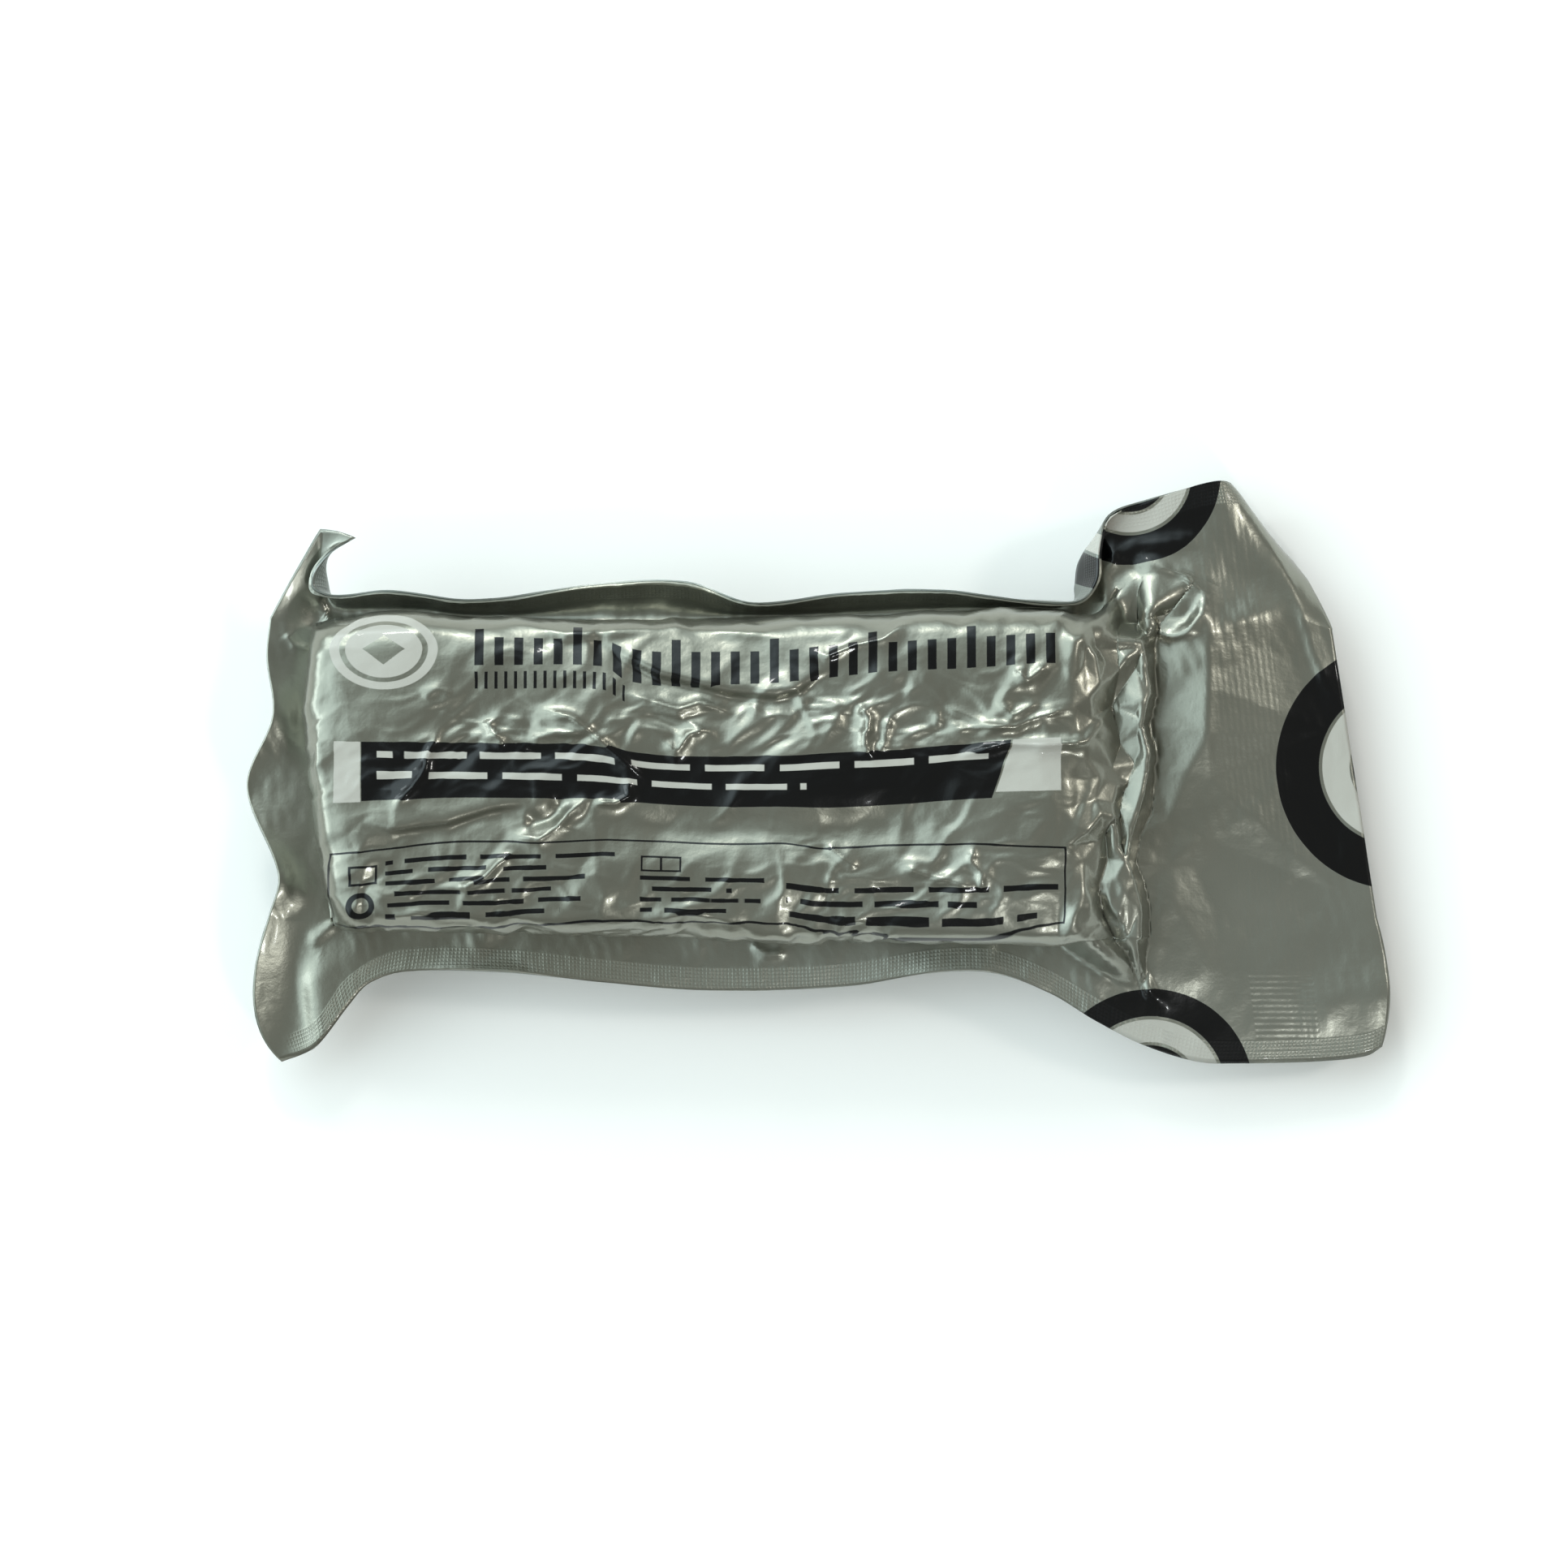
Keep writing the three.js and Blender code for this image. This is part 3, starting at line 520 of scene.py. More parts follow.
# Layers of the crumple. Each starts with its depth, its share where the film is calm, and what the crumple's
# strength adds. bend gives depth, size and seed of waves that keep the layers from lying straight.
film = {
    "calm": 0.1, "bendAlong": [(3.5, 34, 3), (1.2, 11, 5)], "bendAcross": [(3.0, 40, 4), (1.1, 12, 6)],
    "skew": 0.12, "bowlFloor": 0.12,
    "bowls": [  # then cell, seed, crispness, shift along, shift across and its slant
        (1.5, 0.35, 0.8, (27.0, 10.0), 11, 70, 0, 0, 0.0),
        (1.1, 0.05, 1.0, (13.0, 5.6), 17, 80, 15, 30, 0.25),
        (0.45, 0.0, 1.0, (5.6, 2.8), 12, 28, 40, 17, -0.2),
    ],
    # then cell, seed and shifts
    "facets": [(0.34, 0.35, 1.0, (11.0, 6.0), 41, 0, 0), (0.36, 0.12, 1.0, (4.6, 2.8), 42, 5, 3)],
    # then stretch, shift, size and seed
    "creases": [(0.5, 0.2, 1.0, 0.6, 0, 15, 31), (0.36, 0.0, 1.0, 0.7, 9, 7.5, 33)],
    "sag": [(0.45, 46, 8)], "ripple": [(0.14, 14, 9)], "smallRipple": [(0.05, 5, 10)],
    "foldDeep": 1.7, "deepest": -2.6, "wallOut": 0.7, "wallIn": 1.0, "overhang": 1.3,
    "gathers": (0.3, (3.4, 4.2), 44), "endFrom": (1310, 26), "slopeTo": (1408, 14),
    "topFrom": (0.78, 0.17), "bodyFrom": (0.03, 0.3),
    "pleats": (0.5, (5.2, 13.0), 52), "pleatBend": [(2, 20, 51)],
    "headerFacets": (0.3, (15.0, 12.0), 61), "headerFrom": (1430, 40),
}


# The front film's wrinkles, in millimetres along its normals: on the block the named folds and the sum of
# the layers, on the walls pleats, elsewhere soft ripples. over is the distance across from the film's middle.
def wrinkles(points, raised, over):
    x, y = points[..., 0], points[..., 1]
    px, py = toPixels(x, y)
    strength = np.full_like(x, film["calm"])
    for cx, cy, rx, ry, much in crumples:
        strength += much * np.exp(-((px - cx) / rx) ** 2 - ((py - cy) / ry) ** 2)
    wx = x + layeredWaves(x, over, film["bendAlong"])
    wy = over + layeredWaves(x, over, film["bendAcross"]) - film["skew"] * x
    crumple = layeredWaves(x, over, film["sag"])
    for deep, calm, rough, cell, seed, crisp, shiftX, shiftY, slant in film["bowls"]:
        bowl = hollows(wx + shiftX, wy + shiftY + slant * x, cell, seed, crisp) - film["bowlFloor"]
        crumple += deep * bowl * (calm + rough * strength)
    for deep, calm, rough, cell, seed, shiftX, shiftY in film["facets"]:
        crumple += deep * facets(wx + shiftX, wy + shiftY, cell, seed) * (calm + rough * strength)
    for deep, calm, rough, stretch, shift, size, seed in film["creases"]:
        crumple += deep * creases(wx * stretch + shift, wy, size, seed) * (calm + rough * strength)
    named = film["foldDeep"] * foldHeight(px, py, folds)

    atEnd = rising(px, film["endFrom"])
    deep, cell, seed = film["gathers"]
    gathers = deep * facets(wx * 1.1, over, cell, seed) * inZone(px, py, "gathers")
    crumple = crumple * (1 - atEnd) + gathers * atEnd
    slopeDown = atEnd * (1 - rising(px, film["slopeTo"])) * inZone(px, py, "slopeSides")
    onTop = np.maximum(rising(raised, film["topFrom"]), slopeDown)
    onBody = np.maximum(rising(raised, film["bodyFrom"]), slopeDown)

    deep, cell, seed = film["pleats"]
    pleats = deep * facets(x + layeredWaves(x, over, film["pleatBend"]), over, cell, seed)
    wall = np.clip(crumple + pleats, -film["wallIn"], film["wallOut"])
    underEdge = ease(raised / 0.5) * ease((0.98 - raised) / 0.25)
    wall = wall + film["overhang"] * inZone(px, py, "nearWall") * underEdge
    top = np.maximum(crumple + named, film["deepest"])
    body = onTop * top + (onBody - onTop) * wall

    deep, cell, seed = film["headerFacets"]
    ripple = layeredWaves(x, y, film["ripple"]) + layeredWaves(x * 1.5, y, film["smallRipple"])
    ripple += deep * facets(x * 0.9 + 0.3 * y, y - 0.2 * x, cell, seed) * rising(px, film["headerFrom"])
    return body + (foldHeight(px, py, headerFolds) + ripple) * (1 - onBody)


print("pouch tables and folds ready")


# data as an object of the same name, in the scene at the origin
def placed(data):
    obj = bpy.data.objects.new(data.name, data)
    bpy.context.scene.collection.objects.link(obj)
    return obj


# A closed film: a fine outer grid, a coarser inner grid of every step-th point, and a rim. Along the rim
# each coarse step fans out to the fine steps beside it, half of them from either end.
def filmMesh(name, outer, inner, step, uvs, outward):
    rows, cols = outer.shape[:2]
    r, c = inner.shape[:2]
    outerIds = np.arange(rows * cols).reshape(rows, cols)
    innerIds = rows * cols + np.arange(r * c).reshape(r, c)

    def quads(ids):
        return np.stack([ids[:-1, :-1], ids[1:, :-1], ids[1:, 1:], ids[:-1, 1:]], -1).reshape(-1, 4)

    top, under = quads(outerIds), quads(innerIds)[:, ::-1]
    rims = []
    for fine, coarse, turn in ((outerIds[:, 0], innerIds[:, 0], 1), (outerIds[:, -1], innerIds[:, -1], -1),
                               (outerIds[0], innerIds[0], -1), (outerIds[-1], innerIds[-1], 1)):
        a, b = coarse[:-1], coarse[1:]
        half, count = step // 2, len(a)
        starts = [fine[k:-1:step][:count] for k in range(step)]
        ends = [fine[k + 1::step][:count] for k in range(step)]
        parts = [np.stack([a, starts[k], ends[k]], -1) for k in range(half)]
        parts += [np.stack([a, starts[half], b], -1)]
        parts += [np.stack([b, starts[k], ends[k]], -1) for k in range(half, step)]
        rim = np.concatenate(parts)
        rims.append(rim[:, ::-1] if turn > 0 else rim)
    rim = np.concatenate(rims)
    if not outward:
        top, under, rim = top[:, ::-1], under[:, ::-1], rim[:, ::-1]
    points = (np.concatenate([outer.reshape(-1, 3), inner.reshape(-1, 3)]) + pouch["shift"]) * milli
    faces = [f.tolist() for f in (top, under, rim)]
    mesh = bpy.data.meshes.new(name)
    mesh.from_pydata(points.tolist(), [], faces[0] + faces[1] + faces[2])
    smooth = np.ones(len(mesh.polygons), bool)
    smooth[len(top) + len(under):] = False
    mesh.polygons.foreach_set("use_smooth", smooth)
    corners = np.empty(len(mesh.loops), int)
    mesh.loops.foreach_get("vertex_index", corners)
    for label, grid in uvs.items():
        coarse = grid[::step, ::step]
        values = np.concatenate([grid.reshape(-1, 2), coarse.reshape(-1, 2)])[corners]
        layer = mesh.uv_layers.new(name=label)
        layer.data.foreach_set("uv", values.astype(np.float32).ravel())
    mesh.validate()
    return placed(mesh)


# The print is straight on flat film. These rows are where its lines run in the picture, and lay says
# where each line is on the flat print, both down the picture in pixels.
printLines = {
    "x": [400, 585, 690, 745, 775, 820, 900, 960, 1020, 1100, 1200, 1300, 1345],
    "top": [760, 760, 760, 760, 760, 760, 760, 760, 760, 760, 752, 748, 755],
    "title": [805, 805, 804, 806, 826, 832, 830, 828, 820, 812, 808, 803, 803],
    "band": [949, 951, 952, 955, 958, 962, 965, 965, 963, 960, 951, 945, 943],
    "boxTop": [1052, 1036, 1036, 1034, 1035, 1037, 1040, 1039, 1045, 1041, 1039, 1043, 1044],
    "boxEnd": [1137, 1137, 1131, 1128, 1129, 1130, 1131, 1133, 1140, 1142, 1142, 1134, 1134],
}
lay = {"top": 760, "title": 815, "band": 955, "boxTop": 1040, "boxEnd": 1135}
# sealUnit: the millimetres that one unit of the seal's own UV map stands for
printing = {"leastStep": 1.5, "drag": 16, "sealUnit": 100}


# Picture place of each point, with the wavy rows of the print made straight inside the body: between two
# rows a point keeps its share of the way. It also shifts the print towards each wrinkle's slope.
def printPlace(points, height):
    px, py = toPixels(points[..., 0], points[..., 1])
    slopeX, slopeY = np.gradient(height, axis=0), np.gradient(height, axis=1)
    stepX = np.maximum(np.abs(np.gradient(px, axis=0)), printing["leastStep"])
    stepY = np.maximum(np.abs(np.gradient(py, axis=1)), printing["leastStep"])
    px = px + np.clip(slopeX / stepX, -1, 1) * printing["drag"]
    py = py - np.clip(slopeY / stepY, -1, 1) * printing["drag"]
    first, last = printLines["x"][0], printLines["x"][-1]
    found = np.stack([column(printLines, key, np.clip(px, first, last), "x", firm=True) for key in lay])
    flat = np.array(list(lay.values()), float)
    straight = py + (flat[0] - found[0])
    for k in range(len(flat) - 1):
        t = (py - found[k]) / (found[k + 1] - found[k])
        straight = np.where(t > 0, flat[k] + t * (flat[k + 1] - flat[k]), straight)
    straight = py + (straight - py) * inZone(px, py, "print")
    return np.stack([px, straight], -1) / picture["pixels"]


# place in the embossed seals: millimetres walked along the middle row, and in from the nearer long edge
def sealPlace(points):
    fromNear = walkAcross(points)
    inward = np.minimum(fromNear, fromNear[:, -1:] - fromNear)
    spine = points[:, points.shape[1] // 2]
    walked = np.concatenate([[0], np.cumsum(np.linalg.norm(np.diff(spine, axis=0), axis=-1))])
    return np.stack([np.broadcast_to(walked[:, None], inward.shape), inward], -1) / printing["sealUnit"]


# The two films. places and across give stretches, each as its end and its number of steps.
frontGrid = {
    "step": 5,
    "places": [(0.034, 20), (0.056, 10), (0.0585, 5), (0.072, 15), (0.107, 25), (0.7, 235), (0.8, 60),
               (1.0, 60)],
    "near": 20, "far": 20,
    "across": [(0.056, 20), (0.145, 15), (0.855, 105), (0.944, 15), (1.0, 20)],
    "deepest": (-3.0, -0.05), "bodyFrom": 0.3,  # how far a wrinkle may sink on the block and off it
    "wallThick": 0.5, "endBox": (1290, 1560, 760, 1200), "endThick": 0.2,
}
backGrid = {
    "step": 2,
    "places": [(0.056, 20), (0.0585, 4), (0.107, 20), (0.7, 110), (0.8, 36), (1.0, 40)],
    "near": 12, "far": 20,
    "across": [(0.056, 10), (0.145, 10), (0.855, 44), (0.944, 10), (1.0, 10)],
    "bendAlong": [(2, 26, 13)], "bendAcross": [(1.6, 22, 14)], "bowls": (1.2, (16.0, 9.0), 21, 0.16),
    "pleats": (0.45, (5.6, 12.0), 71), "ripple": [(0.06, 12, 15)],
    "floorFrom": 0.97, "floorCalm": 0.35, "floorRise": 0.5, "deepest": (-0.05, 0.7), "inside": 0.1,
}


# one film's middle sheet with its ends shaped, how far each point is raised, and its normals
def filmGrids(grid, side):
    places = spread(0, grid["places"])
    nearShares = np.linspace(0, 1, grid["near"] + 1)[:-1]
    farShares = np.linspace(0, 1, grid["far"] + 1)[1:]
    points, raised = filmSheet(side, places, nearShares, spread(0, grid["across"]), farShares)
    points = leanEnd(points)
    reach = pouch["height"] - pouch["seam"] - pouch["film"] - pouch["gap"] / 2
    points = shapeEnd(points, raised * reach, side)
    return points, raised, gridNormals(points)


# the lowest value within reach grid steps of each point
def lowest(values, reach):
    padded = np.pad(values, reach, mode="edge")
    rows, cols = values.shape
    low = np.min([padded[k:k + rows] for k in range(2 * reach + 1)], axis=0)
    return np.min([low[:, k:k + cols] for k in range(2 * reach + 1)], axis=0)


# The outside is the middle sheet moved out by half the gap, the film and the wrinkles. The inside stays
# under every wrinkle, and at the folded end under the lowest point near it.
def makeFrontFilm():
    points, raised, normals = filmGrids(frontGrid, 1)
    over = walkAcross(points)
    over = over - over[:, points.shape[1] // 2][:, None]
    onBlock, offBlock = frontGrid["deepest"]
    height = wrinkles(points, raised, over)
    height = np.maximum(height, np.where(raised > frontGrid["bodyFrom"], onBlock, offBlock))
    outer = points + normals * (pouch["gap"] / 2 + pouch["film"] + height)[..., None]
    step = frontGrid["step"]
    thick = frontGrid["wallThick"] * ease(raised * 3)
    inner = points + normals * (pouch["gap"] / 2 + np.minimum(height, 0) - thick)[..., None]
    px, py = toPixels(points[..., 0], points[..., 1])
    left, right, top, bottom = frontGrid["endBox"]
    within = (px > left) & (px < right) & (py > top) & (py < bottom)
    under = np.minimum(inner[..., 2], lowest(outer[..., 2], step) - frontGrid["endThick"])
    inner[..., 2] = np.where(within, under, inner[..., 2])
    uvs = {"print": printPlace(points, height), "seal": sealPlace(points)}
    return filmMesh("front_film_sheet", outer, inner[::step, ::step], step, uvs, True)


# The same the other way round, with shallow bowls and pleats, calmer where the pack stands on the floor.
def makeBackFilm():
    points, raised, normals = filmGrids(backGrid, -1)
    x, y = points[..., 0], points[..., 1]
    wx, wy = x + layeredWaves(x, y, backGrid["bendAlong"]), y + layeredWaves(x, y, backGrid["bendAcross"])
    onFloor = raised >= backGrid["floorFrom"]
    deep, cell, seed, floor = backGrid["bowls"]
    crumple = deep * (hollows(wx, wy, cell, seed) - floor) * ease((raised - 0.2) / 0.5)
    deep, cell, seed = backGrid["pleats"]
    crumple += deep * facets(wx, wy + points[..., 2], cell, seed) * ease(raised / 0.2)
    crumple = crumple * np.where(raised > backGrid["floorFrom"], backGrid["floorCalm"], 1)
    height = np.clip(crumple + layeredWaves(x, y, backGrid["ripple"]), *backGrid["deepest"])
    outer = points - normals * (pouch["gap"] / 2 + pouch["film"] + np.where(onFloor, 0, height))[..., None]
    bumps = np.where(onFloor, np.abs(height) * backGrid["floorRise"], 0)
    outer[..., 2] = np.maximum(outer[..., 2], 0) + bumps
    depth = np.full(x.shape, pouch["gap"] / 2 + backGrid["inside"])
    depth[[0, -1]] = depth[:, [0, -1]] = pouch["gap"] / 2
    inner = points - normals * depth[..., None]
    step = backGrid["step"]
    uvs = {"print": printPlace(points, height * 0), "seal": sealPlace(points)}
    return filmMesh("back_film_sheet", outer, inner[::step, ::step], step, uvs, False)


frontFilm, backFilm = makeFrontFilm(), makeBackFilm()
print("films:", len(frontFilm.data.polygons), len(backFilm.data.polygons), "faces")

# the folded bandage inside: a rounded block whose side shows the layers of the fold
bandage = {
    "x": (-95.0, 52.0), "y": (-29.0, 27.5), "z": (1.4, 26.0), "layers": 9, "swell": 0.012,
    "round": 6.0, "shrink": 0.16, "power": 0.42, "rows": 61, "around": 121,
}


# Superellipse sections along x: sine and cosine to a power below one, drawn in towards both ends as a
# quarter circle is, with a cosine swell at each layer of the fold.
def makeBandage():
    u = np.linspace(0, 1, bandage["rows"])
    v = np.linspace(0, 2 * math.pi, bandage["around"])[:-1]
    (x0, x1), (y0, y1), (z0, z1) = bandage["x"], bandage["y"], bandage["z"]
    end = np.clip(np.minimum(u, 1 - u) * (x1 - x0) / bandage["round"], 0, 1)
    shrink = np.sqrt(np.clip(1 - (1 - end) ** 2, 0, 1)) * bandage["shrink"] + 1 - bandage["shrink"]
    cosV, sinV = np.cos(v), np.sin(v)
    ringY = np.sign(cosV) * np.abs(cosV) ** bandage["power"]
    ringZ = np.sign(sinV) * np.abs(sinV) ** bandage["power"]
    layer = 1 + bandage["swell"] * np.cos(ringZ * bandage["layers"] * math.pi) * np.abs(cosV)
    x = np.broadcast_to((x0 + (x1 - x0) * u)[:, None], (len(u), len(v)))
    y = (y0 + y1) / 2 + (y1 - y0) / 2 * shrink[:, None] * (ringY * layer)[None]
    z = (z0 + z1) / 2 + (z1 - z0) / 2 * shrink[:, None] * ringZ[None]
    points = np.stack([x, y, z], -1).reshape(-1, 3) * milli
    ids = np.arange(len(points)).reshape(len(u), len(v))
    after = np.roll(ids, -1, axis=1)
    faces = np.stack([ids[:-1], ids[1:], after[1:], after[:-1]], -1).reshape(-1, 4)[:, ::-1].tolist()
    faces += [ids[0].tolist(), ids[-1][::-1].tolist()]
    mesh = bpy.data.meshes.new("folded_bandage")
    mesh.from_pydata(points.tolist(), [], faces)
    mesh.polygons.foreach_set("use_smooth", np.ones(len(mesh.polygons), bool))
    return placed(mesh)


foldedBandage = makeBandage()


# a shader socket with arithmetic: an expression on it adds the Math nodes that work it out
class Signal:
    def __init__(self, paint, socket):
        self.paint, self.socket = paint, socket

    def math(self, operation, *others):
        return self.paint.node("ShaderNodeMath", {"operation": operation}, [self, *others])

    def __add__(self, other):
        return self.math("ADD", other)

    def __mul__(self, other):
        return self.math("MULTIPLY", other)

    def __sub__(self, other):
        return self.math("SUBTRACT", other)

    def __rsub__(self, other):
        return self.paint.node("ShaderNodeMath", {"operation": "SUBTRACT"}, [other, self])

    def __truediv__(self, other):
        return self.math("DIVIDE", other)

    __radd__ = __add__
    __rmul__ = __mul__

    def clamp(self):
        return self.paint.node("ShaderNodeClamp", {}, [self, 0.0, 1.0])

    def sin(self):
        return self.math("SINE")

    def abs(self):
        return self.math("ABSOLUTE")

    def root(self):
        return self.math("SQRT")

    def max(self, other):
        return self.math("MAXIMUM", other)

    def wrap(self, size):
        return self.math("FLOORED_MODULO", size)


# the nodes of a material or of the world
class Paint:
    def __init__(self, owner):
        owner.use_nodes = True
        self.owner, self.tree = owner, owner.node_tree

    # any node: settings first, then its inputs in order or by name; gives back output 0, or the one named
    def node(self, kind, settings=None, inputs=(), output=0):
        made = self.tree.nodes.new(kind)
        for key, value in (settings or {}).items():
            setattr(made, key, value)
        pairs = inputs.items() if isinstance(inputs, dict) else enumerate(inputs)
        for key, value in pairs:
            self.plug(made.inputs[key], value)
        return Signal(self, made.outputs[output])

    def plug(self, socket, value):
        if isinstance(value, Signal):
            self.tree.links.new(value.socket, socket)
        elif isinstance(value, tuple) and len(value) == 3 and socket.type == "RGBA":
            socket.default_value = (*value, 1)
        else:
            socket.default_value = value

    def mix(self, share, low, high):
        return self.node("ShaderNodeMix", {"data_type": "RGBA"}, {0: share, 6: low, 7: high}, 2)

    def axes(self, vector):
        split = self.tree.nodes.new("ShaderNodeSeparateXYZ")
        self.plug(split.inputs[0], vector)
        return [Signal(self, s) for s in split.outputs]

    # the piece's own UV map as across and down, in the units that one of its lengths stands for
    def flatPlace(self, uvMap, unit):
        across, down, _ = self.axes(self.node("ShaderNodeUVMap", {"uv_map": uvMap}))
        return across * float(unit), down * float(unit)

    def objectPlace(self):
        return self.node("ShaderNodeTexCoord", {}, (), "Object")

    def noise(self, vector, scale, detail=3.0, rough=0.5):
        settings = {"Vector": vector, "Scale": scale, "Detail": detail, "Roughness": rough}
        return self.node("ShaderNodeTexNoise", {}, settings)

    # a clamped ramp of how far a noise stands over a level
    def drift(self, vector, scale, detail, level, gain):
        return ((self.noise(vector, scale, detail) - level) * gain).clamp()

    def bump(self, height, strength=1.0):
        return self.node("ShaderNodeBump", {}, {"Strength": strength, "Distance": milli, "Height": height})

    def finish(self, **sockets):
        shader = self.tree.nodes["Principled BSDF"]
        for key, value in sockets.items():
            self.plug(shader.inputs[key.replace("_", " ")], value)
        return self.owner


# mask of a slab: 1 where low < value < high, a clamped ramp as wide as soft at either side
def slab(value, low, high, soft=0.7):
    return ((value - low) / soft + 0.5).clamp() * ((high - value) / soft + 0.5).clamp()


# distance of a place from a centre
def distance(dx, dy):
    return (dx * dx + dy * dy).root()


seal = {"turn": 6.2832, "pitch": 0.72, "zone": (0.5, 4.6, 0.5)}


# the square mesh that heated jaws leave: the greater of two squared sines, along the seal and in from it
def embossed(walked, inward):
    turns = seal["turn"] / seal["pitch"]
    first, second = [(value * turns).sin() * 0.5 + 0.5 for value in (walked, inward)]
    return (first * first).max(second * second)


ink = {"dark": (0.0006, 0.0008, 0.0012), "pale": (0.44, 0.425, 0.38)}
laminate = {
    "colour": (0.30, 0.303, 0.26), "warmDark": (0.255, 0.252, 0.208), "cool": (0.32, 0.335, 0.30),
    "warmDarkDrift": (14.0, 2.0, 0.42, 3.2), "coolDrift": (9.0, 1.0, 0.52, 4.0),
    "rough": 0.27, "metal": 0.84, "coat": 0.33, "inkCoat": 0.25, "coatRough": 0.07, "specular": 0.15,
    "sealFrom": (4.0, 400.0, 3.0), "sealRough": 0.06, "ribPitch": 7.6, "crossPitch": 7.4, "level": 950.0,
    "mouthSlant": 0.13, "mouthAlong": (1590, 1800, 6.0), "mouthOver": (560, 1262, 6.0),
    "ribSlant": 0.126, "ribAlong": (1507, 1586, 2.5), "crossOver": (1196, 1312, 8.0),
    "grainStretch": ((60.0, 900.0, 300.0), (900.0, 60.0, 300.0)),
    "ripple": 0.13, "mesh": 0.036, "rib": 0.006, "crossRib": 0.015, "grain": 0.006, "pucker": 0.012,
}
# The print, in pixels of the picture: boxes as left, right, top, bottom; bars as top, pitch, thickness,
# rows, left, right; arcs as centre and where the inner dark one ends and the outer one starts and ends.
artwork = {
    "band": (451, 1260, 921, 987), "bandSlant": (440, 1243), "slant": 0.36,
    "frame": (414, 1310, 1039, 1137), "frameLine": 2.5,
    "ticks": (586, 1304, 783, 831), "tickPitch": 24.0, "tickWide": 12, "tickTop": (795, 840),
    "tallPitch": 120.0, "tallWide": 16,
    "smallTicks": (588, 772, 838, 858), "smallPitch": 12.0, "smallWide": 5,
    "text": [(1054, 13.0, 5.5, 6, 480, 760), (1081, 13.0, 5.5, 4, 790, 950),
         (1086, 17.0, 7.0, 3, 968, 1300)],
    "cells": [(791, 841, 1058, 1077), (793.5, 814.5, 1060.5, 1074.5), (817.5, 838.5, 1060.5, 1074.5)],
    "square": (436, 470, 1058, 1084), "squareLine": 3, "ring": (450.0, 1110.0, 10, 17),
    "arcs": [(1724, 944, 56, 98, 152), (1418, 1346, 58, 94, 128), (1392, 584, 46, 76, 112)], "arcGap": 4,
    "tab": (418, 450, 921, 988), "panel": (1215, 1303, 921, 980), "panelSlant": (1245, 1400),
    "bandBars": (931, 24.0, 8.0, 2, 470, 1215),
    "emblem": (478.0, 811.0), "emblemSquash": 1.36, "disc": 66, "groove": (47, 54), "diamond": 26,
}


